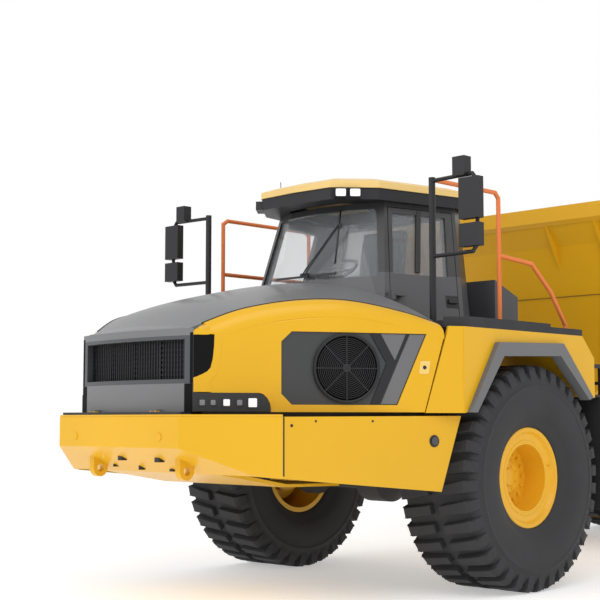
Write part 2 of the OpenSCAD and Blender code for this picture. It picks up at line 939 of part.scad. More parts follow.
module intakes() {
    s_fan = side_s(ya - 2000);
    z_fan = 1985;
    color(dark)
        pair() {
            on_side(-35, -12)
                intake_shape(seat);
            for (d = [fan_d, fan_d - 130, fan_d - 260, fan_d - 390])
                on_side(-30, 5)
                    translate([s_fan, z_fan])
                        difference() {
                            circle(d = d);
                            circle(d = d - 60);
                        }
            for (a = [0, 60, 120])
                on_side(-30, -5)
                    translate([s_fan, z_fan])
                        rotate(a)
                            square([fan_d - 30, 24], center = true);
        }
}

module headlamps() {
    color(black)
        pair() {
            on_side(-55, -5)
                polygon([[62, hood_low], [lamp_len + 20, hood_low], [lamp_len - 10, lamp_top],
                    [62, lamp_top]]);
            for (s = [145, 310, 475])
                on_side(-10, 6)
                    translate([s, (hood_low + lamp_top) / 2])
                        circle(d = 120);
        }
}

// Steering hitch
module hitch() {
    z0 = 1040 + 6;
    z1 = rail_top - 90 - 6;
    color(dark)
        translate([0, y_pivot, 0]) {
            translate([0, 0, z0])
                cylinder(r = 210, h = z1 - z0);
            translate([0, 0, 930])
                cylinder(d = pin_d, h = rail_top + 20 - 930);
            translate([0, 0, z_shaft])
                rotate([-90, 0, 0])
                    cylinder(d = shaft_d, h = 900);
            pair()
                for (z = [z_shaft - 90, z_shaft + 55])
                    block([0, ear_back - 70, z], [ear_x + 70, ear_back + 70, z + 35]);
        }
}

// Rear unit
module rear_frame() {
    y0 = y_pivot + 560;
    color(yellow) {
        difference() {
            union() {
                pair() {
                    block([rail_in, y0, rail_z], [rail_out, y_hinge, rail_top]);
                    translate([rail_in, y_hinge, hinge_z])
                        rotate([0, 90, 0])
                            cylinder(r = rail_top - hinge_z, h = rail_w);
                    translate([rail_out - 10, hoist_base[0], hoist_base[1]])
                        rotate([0, 90, 0])
                            cylinder(d = hoist_pin_d, h = hoist_x + 70 - rail_out + 10);
                    block([rail_out - 20, hoist_base[0] - 120, hoist_base[1] - 80],
                        [rail_out + 10, hoist_base[0] + 120, rail_z + 60]);
                }
                for (y = [yb - 600, (yb + yc) / 2 - 60, yc - 100])
                    block([-rail_in - 10, y, rail_z + 20], [rail_in + 10, y + 120, rail_z + 200]);
                translate([0, y_pivot + 330, z_shaft])
                    rotate([-90, 0, 0])
                        cylinder(d = shaft_d + 240, h = 420);
                block([-rail_out, y0, rail_z - 120], [rail_out, y0 + 190, rail_top]);
                block([-950, y_tailbar - 100, rail_z - 100], [950, y_tailbar, rail_z + 5]);
            }
            translate([0, y_pivot, z_shaft])
                rotate([-90, 0, 0])
                    cylinder(d = shaft_d + 2 * pin_gap, h = 905);
            translate([0, y_hinge, hinge_z])
                rotate([0, 90, 0])
                    cylinder(d = tip_pin_d + 2 * pin_gap, h = 2000, center = true);
        }
    }
}

module rear_axles() {
    color(dark)
        for (y = [yb, yc]) {
            axle_at(y);
            pair()
                block([rail_in, y - 120, z_axle], [rail_out, y + 120, rail_z - seat]);
        }
}

module bogie_beams() {
    x0 = 770;
    mid = (yb + yc) / 2;
    color(yellow)
        pair()
            difference() {
                across(x0, x0 + 110)
                    polygon([[yb - 240, z_axle - 190], [yb - 240, z_axle + 230], [mid, z_axle + 260],
                        [yc + 240, z_axle + 230], [yc + 240, z_axle - 190], [mid, z_axle - 60]]);
                for (y = [yb, yc])
                    translate([x0 - 10, y, z_axle])
                        rotate([0, 90, 0])
                            cylinder(d = axle_d + 2 * seat, h = 130);
            }
}

module tail_lamps() {
    y0 = y_tailbar + seat;
    color([0.6, 0.1, 0.08])
        pair()
            block([700, y0, rail_z - 90], [940, y0 + 60, rail_z - 5]);
}

// Tipping body
module body_floor() {
    y_chute = yc - 60;
    function half(lift) = [[body_half - body_t - seat, 2420 + lift], [1060, 2165 + lift],
        [floor_half, floor_z + lift]];
    function full(lift) = let (h = half(lift)) concat(h, [for (i = [2:-1:0]) [-h[i][0], h[i][1]]]);
    function row(y, lift) = [for (p = full(lift)) [p[0], y, p[1]]];
    function front(lift) = [for (p = full(lift)) [p[0], wall_y(p[1]) + body_t + seat, p[1]]];
    color(yellow)
        strip_loft([[front(body_t), front(0)], [row(y_chute, body_t), row(y_chute, 0)],
            [row(y_tail, chute_rise + body_t), row(y_tail, chute_rise)]]);
}

module body_sides() {
    color(yellow)
        pair() {
            across(body_half - body_t, body_half)
                polygon(concat([[yc - 60, side_low], [y_tail, side_low + chute_rise - 10],
                    [y_tail - 60, 3000], [yc + 40, side_top], [y_cap, side_top], [lip_y + 600, lip_low]],
                    [for (z = [lip_low, fold_z[1], fold_z[0], side_low]) [wall_y(z) + body_t + seat, z]]));
            for (y = rib_y)
                block([body_half - 1, y, side_low + 20], [body_half + 60, y + rib_w, side_top - 120]);
            across(body_half, body_half + 60)
                polygon([[y_cap + 50, side_top - 130], [yc + 30, side_top - 130], [yc + 40, side_top],
                    [y_cap, side_top]]);
        }
}

module body_front() {
    outline = [[floor_half, wall_low_z], [1060, 2020], [body_half, 2330], [body_half, lip_top]];
    color(yellow) {
        intersection() {
            across(-body_half, body_half)
                polygon(concat([for (p = wall_steps) [p[1], p[0]]],
                    [for (i = [len(wall_steps) - 1:-1:0]) [wall_steps[i][1] + body_t, wall_steps[i][0]]]));
            translate([0, wall_low_y + 1000, 0])
                rotate([90, 0, 0])
                    linear_extrude(3000)
                        polygon(mirrored(outline));
        }
        across(-body_half, body_half)
            polygon([[lip_y - 45, lip_low + 10], [lip_y - 45, lip_top], [lip_y + 10, lip_top],
                [lip_y + 10, lip_low - 30]]);
        pair()
            for (x = gusset_x)
                across(x, x + gusset_t)
                    polygon([[lip_y - 20, lip_low + 15], [wall_y(3180) + 5, 3180],
                        [fold_y[1] + 20, fold_z[1]], [lip_y + 20, lip_low + 15]]);
    }
}

module body_beams() {
    top = floor_z - seat;
    color(yellow) {
        pair() {
            block([rail_in, wall_low_y + 150, rail_top + 10], [rail_out, y_hinge, top]);
            for (x = [rail_in - 75, rail_out + 15])
                hull() {
                    translate([x, y_hinge, hinge_z])
                        rotate([0, 90, 0])
                            cylinder(d = 220, h = 60);
                    block([x, y_hinge - 400, top - 150], [x + 60, y_hinge, top]);
                }
            translate([rail_in - 75, y_hinge, hinge_z])
                rotate([0, 90, 0])
                    cylinder(d = tip_pin_d, h = rail_w + 150);
            block([rail_in - 75, y_hinge - 400, top - 150], [rail_out + 75, y_hinge - 120, top]);
            for (x = [hoist_x - 90, hoist_x + 60])
                block([x, hoist_eye[0] - 110, hoist_eye[1] - 80], [x + 30, hoist_eye[0] + 110, top]);
            block([rail_out - 5, hoist_eye[0] - 110, top - 18], [hoist_x + 90, hoist_eye[0] + 110, top]);
        }
        for (y = [yb - 1630, yb - 330, yb + 970])
            block([-rail_in - 5, y, rail_top + 110], [rail_in + 5, y + 140, top]);
    }
}

// Cylinders
module on_hoist() {
    translate([0, hoist_base[0], hoist_base[1]])
        rotate([90 - hoist_tilt, 0, 0])
            children();
}

module hoist_barrels() {
    color(yellow)
        pair()
            translate([hoist_x, 0, 0])
                on_hoist()
                    difference() {
                        union() {
                            cylinder(d = hoist_d, h = hoist_len - 344);
                            rotate([0, 90, 0])
                                cylinder(d = hoist_d, h = 100, center = true);
                        }
                        rotate([0, 90, 0])
                            cylinder(d = hoist_pin_d + 2 * pin_gap, h = 200, center = true);
                        translate([0, 0, 160])
                            cylinder(d = hoist_rod_d + 2 * pin_gap, h = hoist_len);
                    }
}

module hoist_rods() {
    color(grey)
        pair()
            translate([hoist_x, 0, 0])
                on_hoist()
                    difference() {
                        union() {
                            translate([0, 0, 180])
                                cylinder(d = hoist_rod_d, h = hoist_len - 180 - 50);
                            translate([0, 0, hoist_len])
                                rotate([0, 90, 0])
                                    cylinder(d = 150, h = 100, center = true);
                        }
                        translate([0, 0, hoist_len])
                            rotate([0, 90, 0])
                                cylinder(d = 70, h = 200, center = true);
                    }
}

module on_steer(side) {
    translate([side * base_x, y_pivot - base_front, z_shaft])
        rotate([0, 0, side * steer_tilt])
            rotate([-90, 0, 0])
                children();
}

module steer_barrel(side) {
    color(yellow)
        on_steer(side)
            difference() {
                union() {
                    cylinder(d = steer_neck_d, h = steer_neck_len + 5);
                    translate([0, 0, steer_neck_len])
                        cylinder(d = steer_d, h = steer_barrel_len - steer_neck_len);
                    rotate([90, 0, 0])
                        cylinder(d = steer_d, h = 90, center = true);
                }
                rotate([90, 0, 0])
                    cylinder(d = steer_pin_d + 2 * pin_gap, h = 200, center = true);
                translate([0, 0, steer_rod_start - steer_throw - 2])
                    cylinder(d = steer_rod_d + 2 * pin_gap, h = steer_len);
            }
}

module steer_rod(side) {
    color(grey)
        on_steer(side)
            difference() {
                union() {
                    translate([0, 0, steer_rod_start])
                        cylinder(d = steer_rod_d, h = steer_len - steer_rod_start - 30);
                    translate([0, 0, steer_len])
                        rotate([90, 0, 0])
                            cylinder(d = 110, h = 90, center = true);
                }
                translate([0, 0, steer_len])
                    rotate([90, 0, 0])
                        cylinder(d = steer_pin_d, h = 200, center = true);
            }
}

// Wheels, drawn about their own axle with the outer face up
module tyre_form() {
    n = lug_count;
    r = tyre_d / 2 / cos(90 / n);
    w = tyre_w / 2;
    k = 1 / cos(90 / n);
    bead = rim_d / 2;
    seat_z = rim_w / 2 - flange_t - seat;
    turns = [-0.25, 0.25, 0.3, 0.7];
    function ring(rad, z) = [for (i = [0:2 * n - 1]) [rad * cos(i * 180 / n), rad * sin(i * 180 / n), z]];
    function spin(rad, a, z) = [rad * cos(a), rad * sin(a), z];
    function lugged(low, high, z, shift) = [for (p = [0:n - 1]) for (q = [1, 2, 3, 0])
        spin(q < 2 ? high : low, (p + shift + turns[q] + (q == 0 ? 1 : 0)) * 360 / n, z)];
    shoulder = r - lug_h - 60;
    points = concat(ring((bead - flange_h) * k, seat_z), ring((bead + 3) * k, seat_z),
        ring(bead + 300, w), lugged(shoulder, shoulder, 0.97 * w, 0), lugged(r - lug_h, r, 0.87 * w, 0),
        lugged(r - lug_h, r, -0.87 * w, 0.5), lugged(shoulder, shoulder, -0.97 * w, 0.5),
        ring(bead + 300, -w), ring((bead + 3) * k, -seat_z), ring((bead - flange_h) * k, -seat_z));
    m = 2 * n;
    start = [0, m, 2 * m, 3 * m, 5 * m, 7 * m, 9 * m, 11 * m, 12 * m, 13 * m];
    function at(b, i, c) = start[b] + (i + c) % c;
    function band(a, b, c) = [for (i = [0:c - 1]) for (f = [[at(a, i, c), at(a, i + 1, c), at(b, i + 1, c)],
        [at(a, i, c), at(b, i + 1, c), at(b, i, c)]]) f];
    widen = [for (i = [0:m - 1]) for (f = [[at(2, i, m), at(2, i + 1, m), at(3, 2 * i + 1, 2 * m)],
        [at(2, i, m), at(3, 2 * i + 1, 2 * m), at(3, 2 * i, 2 * m)],
        [at(2, i, m), at(3, 2 * i, 2 * m), at(3, 2 * i - 1, 2 * m)]]) f];
    narrow = [for (i = [0:m - 1]) for (f = [[at(6, 2 * i, 2 * m), at(6, 2 * i + 1, 2 * m), at(7, i + 2, m)],
        [at(6, 2 * i, 2 * m), at(7, i + 2, m), at(7, i + 1, m)],
        [at(6, 2 * i - 1, 2 * m), at(6, 2 * i, 2 * m), at(7, i + 1, m)]]) f];
    polyhedron(points, concat(band(0, 1, m), band(1, 2, m), widen, band(3, 4, 2 * m), band(4, 5, 2 * m),
        band(5, 6, 2 * m), narrow, band(7, 8, m), band(8, 9, m), band(9, 0, m)));
}

function both_ends(half) = concat(half, [for (i = [len(half) - 1:-1:0]) [half[i][0], -half[i][1]]]);

module rim_form() {
    r = rim_d / 2;
    w = rim_w / 2;
    barrel = r - flange_h - seat;
    bore = barrel - rim_wall;
    face = w - face_back;
    recess = recess_d / 2;
    difference() {
        rotate_extrude($fn = 96)
            polygon([[0, disc_z - hub_len], [hub_d / 2, disc_z - hub_len], [hub_d / 2, disc_z - disc_t],
                [recess + disc_t, disc_z - disc_t], [recess + disc_t, face - disc_t],
                [bore, face - disc_t], [bore, -w], [r, -w], [r, flange_t - w], [barrel, flange_t - w],
                [barrel, w - flange_t], [r, w - flange_t], [r, w], [bore + 12, w], [bore - 8, face],
                [recess, face], [recess - 10, disc_z], [cap_d / 2, disc_z], [cap_d / 2 - 8, disc_z + 30],
                [0, disc_z + 30]]);
        translate([0, 0, disc_z - hub_len - 10])
            cylinder(d = spindle_d + 2 * pin_gap, h = hub_len - hub_end + 10);
    }
}

module wheel_at(side, y) {
    translate([side * wheel_x, y, z_axle])
        rotate([0, side * 90, 0])
            children();
}

module tyre(side, y) {
    color(black)
        wheel_at(side, y)
            tyre_form();
}

module rim(side, y) {
    color(yellow)
        wheel_at(side, y)
            rim_form();
}

front_frame();
front_axle();
engine();
bumper();
side_panels();
fenders();
arch_trims();
mudflaps();
deck();
ladder();
handrails();
cab_shell();
cab_roof();
roof_cap();
cab_glass();
cab_interior();
roof_lamps();
mirrors();
tank();
hood_sides();
hood_top();
grille_frame();
grille();
intakes();
headlamps();
door();
door_glass();
hitch();
rear_frame();
rear_axles();
bogie_beams();
tail_lamps();
body_floor();
body_sides();
body_front();
body_beams();
hoist_barrels();
hoist_rods();
steer_barrel(1);  // steer_barrel_left
steer_rod(1);  // steer_rod_left
steer_barrel(-1);  // steer_barrel_right
steer_rod(-1);  // steer_rod_right
tyre(1, ya);  // tyre_front_left
rim(1, ya);  // rim_front_left
tyre(-1, ya);  // tyre_front_right
rim(-1, ya);  // rim_front_right
tyre(1, yb);  // tyre_mid_left
rim(1, yb);  // rim_mid_left
tyre(-1, yb);  // tyre_mid_right
rim(-1, yb);  // rim_mid_right
tyre(1, yc);  // tyre_rear_left
rim(1, yc);  // rim_rear_left
tyre(-1, yc);  // tyre_rear_right
rim(-1, yc);  // rim_rear_right
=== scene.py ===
import math

import bmesh
import bpy
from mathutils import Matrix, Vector


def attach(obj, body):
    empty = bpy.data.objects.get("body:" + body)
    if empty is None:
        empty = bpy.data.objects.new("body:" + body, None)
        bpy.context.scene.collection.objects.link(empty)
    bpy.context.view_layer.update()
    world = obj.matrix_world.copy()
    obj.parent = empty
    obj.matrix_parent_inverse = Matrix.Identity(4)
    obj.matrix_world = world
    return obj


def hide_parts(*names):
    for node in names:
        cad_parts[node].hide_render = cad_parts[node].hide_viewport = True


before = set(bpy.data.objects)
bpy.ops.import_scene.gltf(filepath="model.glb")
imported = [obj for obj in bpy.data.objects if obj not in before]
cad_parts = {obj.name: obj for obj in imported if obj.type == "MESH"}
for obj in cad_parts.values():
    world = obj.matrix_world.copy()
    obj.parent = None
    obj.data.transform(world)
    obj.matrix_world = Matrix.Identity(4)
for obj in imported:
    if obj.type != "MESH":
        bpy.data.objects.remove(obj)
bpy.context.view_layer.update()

# Sizes in metres, in the frame of the CAD part: -Y is forward, +X is the truck's left.
SIDES = {"left": 1, "right": -1}
AXLES = {"front": -2.67, "mid": 2.23, "rear": 4.37}
HUB_X, HUB_Z = 1.48, 1.03
TYRE_R = 1.03
NOSE_Y = -6.02
HOOD_Y, HOOD_HALF, FLARE = -5.82, 0.75, math.radians(28.3)
DECK_Z, CAB_HEIGHT = 2.42, 1.2
BELT_Z = 2.93


# Finishes

class Wire:
    """A shader socket that takes plain arithmetic."""

    def __init__(self, tree, socket):
        self.tree = tree
        self.socket = socket

    def sum(self, kind, *values):
        return add_node(self.tree, "ShaderNodeMath", {"operation": kind}, dict(enumerate(values)))

    def __add__(self, other):
        return self.sum("ADD", self, other)

    def __radd__(self, other):
        return self.sum("ADD", other, self)

    def __sub__(self, other):
        return self.sum("SUBTRACT", self, other)

    def __rsub__(self, other):
        return self.sum("SUBTRACT", other, self)

    def __mul__(self, other):
        return self.sum("MULTIPLY", self, other)

    def __rmul__(self, other):
        return self.sum("MULTIPLY", other, self)

    def __truediv__(self, other):
        return self.sum("DIVIDE", self, other)

    def above(self, level):
        return self.sum("GREATER_THAN", self, level)

    def wave(self):
        return self.sum("SINE", self)

    def held(self):
        return add_node(self.tree, "ShaderNodeClamp", inputs={0: self})


def plug(tree, value, socket):
    if isinstance(value, Wire):
        tree.links.new(value.socket, socket)
    else:
        socket.default_value = value


def add_node(tree, kind, settings=None, inputs=None, out=0):
    """One shader node: its settings first, then the values or links of its sockets."""
    node = tree.nodes.new(kind)
    for key, value in (settings or {}).items():
        setattr(node, key, value)
    for key, value in (inputs or {}).items():
        plug(tree, value, node.inputs[key])
    return Wire(tree, node.outputs[out]) if node.outputs else None


def rgba(value):
    if isinstance(value, tuple) and len(value) == 3:
        return (*value, 1.0)
    return value


def shade(colour, k):
    return tuple(min(1.0, c * k) for c in colour)


class Finish:
    """A material whose shader is drawn in maths on the piece's own coordinates."""

    def __init__(self, name):
        self.mat = bpy.data.materials.new(name)
        self.mat.use_nodes = True
        self.tree = self.mat.node_tree
        self.shader = self.tree.nodes["Principled BSDF"]

    def node(self, kind, out=0, **inputs):
        return add_node(self.tree, kind, inputs=inputs, out=out)

    def place(self):
        return self.node("ShaderNodeTexCoord", "Object")

    def along(self, axis):
        return self.node("ShaderNodeSeparateXYZ", axis, Vector=self.place())

    def noise(self, scale, detail):
        return self.node("ShaderNodeTexNoise", Vector=self.place(), Scale=scale, Detail=detail)

    def mix(self, factor, a, b):
        ends = {0: factor, 6: rgba(a), 7: rgba(b)}
        return add_node(self.tree, "ShaderNodeMix", {"data_type": "RGBA"}, ends, 2)

    def bump(self, height, strength, distance=0.002):
        return self.node("ShaderNodeBump", Height=height, Strength=strength, Distance=distance)

    def set(self, **inputs):
        for key, value in inputs.items():
            plug(self.tree, rgba(value), self.shader.inputs[key.replace("_", " ")])


def paint(name, colour, rough, dust, coat=0.0):
    """Enamel: faint clouding, a fine orange peel, and dust that gathers low down."""
    f = Finish(name)
    cloud = f.noise(1.1, 4.0)
    fine = f.noise(45.0, 2.0)
    low = (1.0 - f.along("Z") / 1.7).held()
    film = (low * dust * 2.0 + dust * 0.25) * cloud
    base = f.mix(cloud, shade(colour, 0.93), shade(colour, 1.06))
    f.set(Base_Color=f.mix(film, base, (0.42, 0.37, 0.30)),
          Roughness=rough + (fine - 0.5) * 0.12 + film * 0.5,
          Coat_Weight=coat, Coat_Roughness=0.12, Specular_IOR_Level=0.32,
          Normal=f.bump(fine, 0.05))
    return f.mat


def cab_paint(name, low, high, split):
    """Grey panels up to the belt line, black pillars above it."""
    f = Finish(name)
    cloud = f.noise(1.4, 4.0)
    fine = f.noise(45.0, 2.0)
    base = f.mix(f.along("Z").above(split), low, high)
    f.set(Base_Color=f.mix(cloud * 0.12, base, (0.30, 0.28, 0.25)),
          Roughness=0.36 + fine * 0.14, Coat_Weight=0.1, Normal=f.bump(fine, 0.05))
    return f.mat


def rubber(name, colour, grain):
    f = Finish(name)
    cloud = f.noise(2.3, 5.0)
    fine = f.noise(grain, 3.0)
    f.set(Base_Color=f.mix(cloud * fine * 1.4, shade(colour, 0.75), shade(colour, 1.7)),
          Roughness=0.62 + fine * 0.3, Normal=f.bump(fine, 0.25, 0.003))
    return f.mat


def casting(name, colour):
    f = Finish(name)
    cloud = f.noise(3.0, 4.0)
    pit = f.noise(70.0, 2.0)
    f.set(Base_Color=f.mix(cloud * 0.6, colour, (0.10, 0.085, 0.07)),
          Roughness=0.5 + cloud * 0.3, Metallic=0.25, Normal=f.bump(pit, 0.2))
    return f.mat


def moulding(name, colour, rough, shine=0.5):
    f = Finish(name)
    grain = f.noise(160.0, 2.0)
    cloud = f.noise(2.0, 3.0)
    f.set(Base_Color=f.mix(cloud, shade(colour, 0.8), shade(colour, 1.3)),
          Roughness=rough + grain * 0.15, Specular_IOR_Level=shine,
          Normal=f.bump(grain, 0.12, 0.001))
    return f.mat


def tread_plate(name, colour):
    """Anti-slip plate: rows of small raised spots on the faces that look up."""
    f = Finish(name)
    spots = (f.along("X") * 90.0).wave() * (f.along("Y") * 90.0).wave()
    up = f.node("ShaderNodeSeparateXYZ", "Z", Vector=f.node("ShaderNodeNewGeometry", "Normal"))
    raised = spots.above(0.35) * up.above(0.7)
    wear = f.noise(5.0, 4.0)
    f.set(Base_Color=f.mix(raised * wear, colour, shade(colour, 4.0)),
          Roughness=0.55 + wear * 0.2, Metallic=0.3, Normal=f.bump(raised, 0.5, 0.004))
    return f.mat


def plated(name, colour, rough):
    f = Finish(name)
    film = f.noise(8.0, 4.0)
    lines = f.noise(300.0, 1.0)
    f.set(Base_Color=f.mix(film, shade(colour, 0.85), colour), Metallic=1.0,
          Roughness=rough + lines * 0.08)
    return f.mat


def pane(name, colour, alpha, tint_y):
    """Clear glass, with a grey tint on the cab's back window."""
    f = Finish(name)
    film = f.noise(1.6, 3.0)
    tint = f.along("Y").above(tint_y)
    clear = f.mix(film, shade(colour, 0.9), colour)
    f.set(Base_Color=f.mix(tint, clear, (0.46, 0.48, 0.50)), Roughness=0.03 + film * 0.03,
          Alpha=alpha + film * 0.06 + tint * 0.5, Coat_Weight=1.0, Coat_Roughness=0.02)
    return f.mat


def lens(name, colour, glow):
    """Lamp cover with pressed ribs behind a clear skin."""
    f = Finish(name)
    ribs = (f.along("Z") * 420.0).wave() * 0.5 + 0.5
    f.set(Base_Color=f.mix(ribs, shade(colour, 0.8), colour), Roughness=0.15, Coat_Weight=1.0,
          Emission_Color=f.mix(ribs, shade(colour, 0.6), colour), Emission_Strength=glow)
    return f.mat


def weave(name, colour):
    f = Finish(name)
    threads = (f.along("X") * 900.0).wave() * (f.along("Z") * 900.0).wave()
    cloud = f.noise(6.0, 3.0)
    f.set(Base_Color=f.mix(threads * 0.3 + cloud * 0.5, colour, shade(colour, 2.2)),
          Roughness=0.9, Normal=f.bump(threads, 0.2, 0.001))
    return f.mat


YELLOW = paint("yellow_enamel", (0.78, 0.43, 0.008), 0.36, coat=0.1, dust=0.03)
# The dump body wears the same yellow paint, set a little darker here as painted shade.
BODY_YELLOW_SHADED = paint("body_yellow_painted_shade", (0.76, 0.40, 0.006), 0.42, coat=0.05, dust=0.03)
# Colour of the strip across the body's front wall: painted shade of the crease between its plates.
CREASE_SHADE = paint("crease_shade_line", (0.26, 0.14, 0.01), 0.5, dust=0.05)
RIM = paint("rim_enamel", (0.86, 0.46, 0.012), 0.36, coat=0.12, dust=0.05)
GREY = paint("grey_enamel", (0.17, 0.172, 0.178), 0.42, coat=0.15, dust=0.06)
TRIM = paint("arch_grey", (0.15, 0.152, 0.158), 0.5, dust=0.08)
DARK = paint("cab_grey", (0.07, 0.072, 0.08), 0.42, coat=0.1, dust=0.05)
CAB = cab_paint("cab_two_tone", (0.07, 0.072, 0.08), (0.022, 0.023, 0.026), BELT_Z)
PANEL = paint("intake_grey", (0.05, 0.052, 0.054), 0.45, dust=0.04)
BLACK = paint("black_enamel", (0.014, 0.0145, 0.017), 0.45, dust=0.03)
SATIN = moulding("black_plastic", (0.012, 0.0125, 0.014), 0.38)
# Blacker than any paint: painted shade in the nose-corner recesses and behind the fan guards.
SHADE_BLACK = moulding("painted_shade_black", (0.004, 0.004, 0.0045), 0.6, 0.12)
ORANGE = paint("orange_enamel", (0.78, 0.20, 0.045), 0.4, coat=0.1, dust=0.04)
# The roof cap wears the same yellow paint, drawn much paler here as painted highlight on the roof top.
ROOF_YELLOW_LIT = paint("roof_yellow_painted_highlight", (0.86, 0.60, 0.22), 0.4, dust=0.05)
PALE = paint("pale_yellow", (0.86, 0.60, 0.18), 0.4, dust=0.05)
IRON = casting("chassis_iron", (0.03, 0.03, 0.033))
TYRE = rubber("tyre_rubber", (0.024, 0.0245, 0.027), 55.0)
FLAP = rubber("flap_rubber", (0.016, 0.016, 0.017), 90.0)
GRIP = tread_plate("deck_plate", (0.03, 0.031, 0.034))
CHROME = plated("rod_chrome", (0.72, 0.72, 0.73), 0.12)
GLASS_MIRROR = plated("mirror_glass", (0.8, 0.82, 0.84), 0.03)
WINDOW = pane("window_glass", (0.62, 0.66, 0.69), 0.13, AXLES["front"])
WHITE_LENS = lens("white_lens", (0.92, 0.94, 0.96), 0.45)
GREY_LENS = lens("grey_lens", (0.20, 0.21, 0.22), 0.0)
LAMP_GLASS = lens("dark_lens", (0.02, 0.021, 0.024), 0.0)
RED_LENS = lens("red_lens", (0.5, 0.02, 0.015), 0.1)
AMBER_LENS = lens("amber_lens", (0.85, 0.30, 0.02), 0.1)
CLOTH = weave("seat_cloth", (0.03, 0.032, 0.036))

NODE_FINISH = {
    YELLOW: ["bumper", "side_panels", "fenders", "hood_sides", "rear_frame", "bogie_beams",
             "hoist_barrels", "steer_barrel_left", "steer_barrel_right"],
    BODY_YELLOW_SHADED: ["body_floor", "body_sides", "body_front", "body_beams"],
    GREY: ["hood_top"],
    TRIM: ["arch_trims"],
    CAB: ["cab_shell", "door"],
    DARK: ["grille_frame", "tank"],
    ROOF_YELLOW_LIT: ["roof_cap"],
    PANEL: ["intakes"],
    BLACK: ["ladder", "mirrors", "grille", "cab_roof"],
    SATIN: ["headlamps", "roof_lamps", "cab_interior"],
    ORANGE: ["handrails"],
    IRON: ["front_frame", "front_axle", "engine", "hitch", "rear_axles"],
    FLAP: ["mudflaps"],
    GRIP: ["deck"],
    CHROME: ["hoist_rods", "steer_rod_left", "steer_rod_right"],
    WINDOW: ["cab_glass", "door_glass"],
    RED_LENS: ["tail_lamps"],
    TYRE: [f"tyre_{axle}_{word}" for axle in AXLES for word in SIDES],
    RIM: [f"rim_{axle}_{word}" for axle in AXLES for word in SIDES],
}


def dress_solids():
    for finish, names in NODE_FINISH.items():
        for name in names:
            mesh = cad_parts[name].data
            mesh.materials.clear()
            mesh.materials.append(finish)


# Drawing

class Form:
    """Faces gathered for one piece. Most shapes take a function that places their points."""

    def __init__(self):
        self.points = []
        self.faces = []
        self.skins = []
        self.curved = []

    def add(self, points, faces, skin=0, curved=False):
        k = len(self.points)
        self.points += [tuple(p) for p in points]
        for face in faces:
            self.faces.append([k + i for i in face])
            self.skins.append(skin)
            self.curved.append(curved)

    def block(self, a, b):
        corners = [(x, y, z) for z in (a[2], b[2]) for y in (a[1], b[1]) for x in (a[0], b[0])]
        self.add(corners, [(0, 2, 3, 1), (4, 5, 7, 6), (0, 1, 5, 4),
                           (2, 6, 7, 3), (0, 4, 6, 2), (1, 3, 7, 5)])

    def prism(self, outline, t0, t1, to, skin=0):
        n = len(outline)
        points = [to(a, b, t) for t in (t0, t1) for a, b in outline]
        faces = [tuple(range(n))[::-1], tuple(range(n, 2 * n))]
        faces += [(i, (i + 1) % n, n + (i + 1) % n, n + i) for i in range(n)]
        self.add(points, faces, skin)

    def turned(self, profile, to, n, skin=0):
        """A profile of (radius, height) turned about an axis; to() places (x, y, height)."""
        m = len(profile)
        points = []
        for i in range(n):
            c, s = math.cos(2 * math.pi * i / n), math.sin(2 * math.pi * i / n)
            points += [to(r * c, r * s, h) for r, h in profile]
        faces = []
        for i in range(n):
            j = (i + 1) % n
            faces += [(i * m + k, i * m + k + 1, j * m + k + 1, j * m + k) for k in range(m - 1)]
        self.add(points, faces, skin, True)

    def shell(self, rows, sink):
        """A smooth sheet given as rows of points, with a rim down to its underside."""
        n, m = len(rows), len(rows[0])
        top = [Vector(p) for row in rows for p in row]
        cells = [(i * m + j, i * m + j + 1, (i + 1) * m + j + 1, (i + 1) * m + j)
                 for i in range(n - 1) for j in range(m - 1)]
        rim = list(range(m)) + [i * m + m - 1 for i in range(1, n)]
        rim += [(n - 1) * m + j for j in range(m - 2, -1, -1)]
        rim += [i * m for i in range(n - 2, 0, -1)]
        sink = Vector(sink)
        self.add(top, cells, curved=True)
        self.add([p + sink for p in top], cells, curved=True)
        # The rim stops just short of both sheets, so its edges stay sharp.
        edge = [top[i] + sink * 0.002 for i in rim] + [top[i] + sink * 0.998 for i in rim]
        k = len(rim)
        self.add(edge, [(i, (i + 1) % k, k + (i + 1) % k, k + i) for i in range(k)])

    def pipe(self, path, r, n):
        """A round tube of n sides along a path, with flat ends."""
        path = [Vector(p) for p in path]
        rings = []
        side = None
        for i, p in enumerate(path):
            ahead = (path[min(i + 1, len(path) - 1)] - path[max(i - 1, 0)]).normalized()
            if side is None:
                side = ahead.orthogonal().normalized()
            side = (side - ahead * side.dot(ahead)).normalized()
            up = ahead.cross(side)
            for j in range(n):
                turn = 2 * math.pi * j / n
                rings.append(p + (side * math.cos(turn) + up * math.sin(turn)) * r)
        faces = []
        for i in range(len(path) - 1):
            a, b = i * n, (i + 1) * n
            faces += [(a + j, a + (j + 1) % n, b + (j + 1) % n, b + j) for j in range(n)]
        self.add(rings, faces, curved=True)
        self.add(rings[:n], [tuple(range(n))[::-1]])
        self.add(rings[-n:], [tuple(range(n))])

    def piece(self, name, body, mats, slot, bevel=0.0, segments=2):
        mesh = bpy.data.meshes.new(name)
        mesh.from_pydata(self.points, [], self.faces)
        for mat in mats:
            mesh.materials.append(mat)
        for face, skin, curved in zip(mesh.polygons, self.skins, self.curved):
            face.material_index = skin
            face.use_smooth = curved
        work = bmesh.new()
        work.from_mesh(mesh)
        bmesh.ops.remove_doubles(work, verts=work.verts, dist=1e-6)
        bmesh.ops.recalc_face_normals(work, faces=work.faces)
        work.to_mesh(mesh)
        work.free()
        obj = bpy.data.objects.new(name, mesh)
        bpy.context.scene.collection.objects.link(obj)
        if bevel:
            edge = obj.modifiers.new("edges", "BEVEL")
            edge.width = bevel
            edge.segments = segments
            edge.limit_method = "ANGLE"
            edge.angle_limit = math.radians(40)
        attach(obj, body)
        return obj


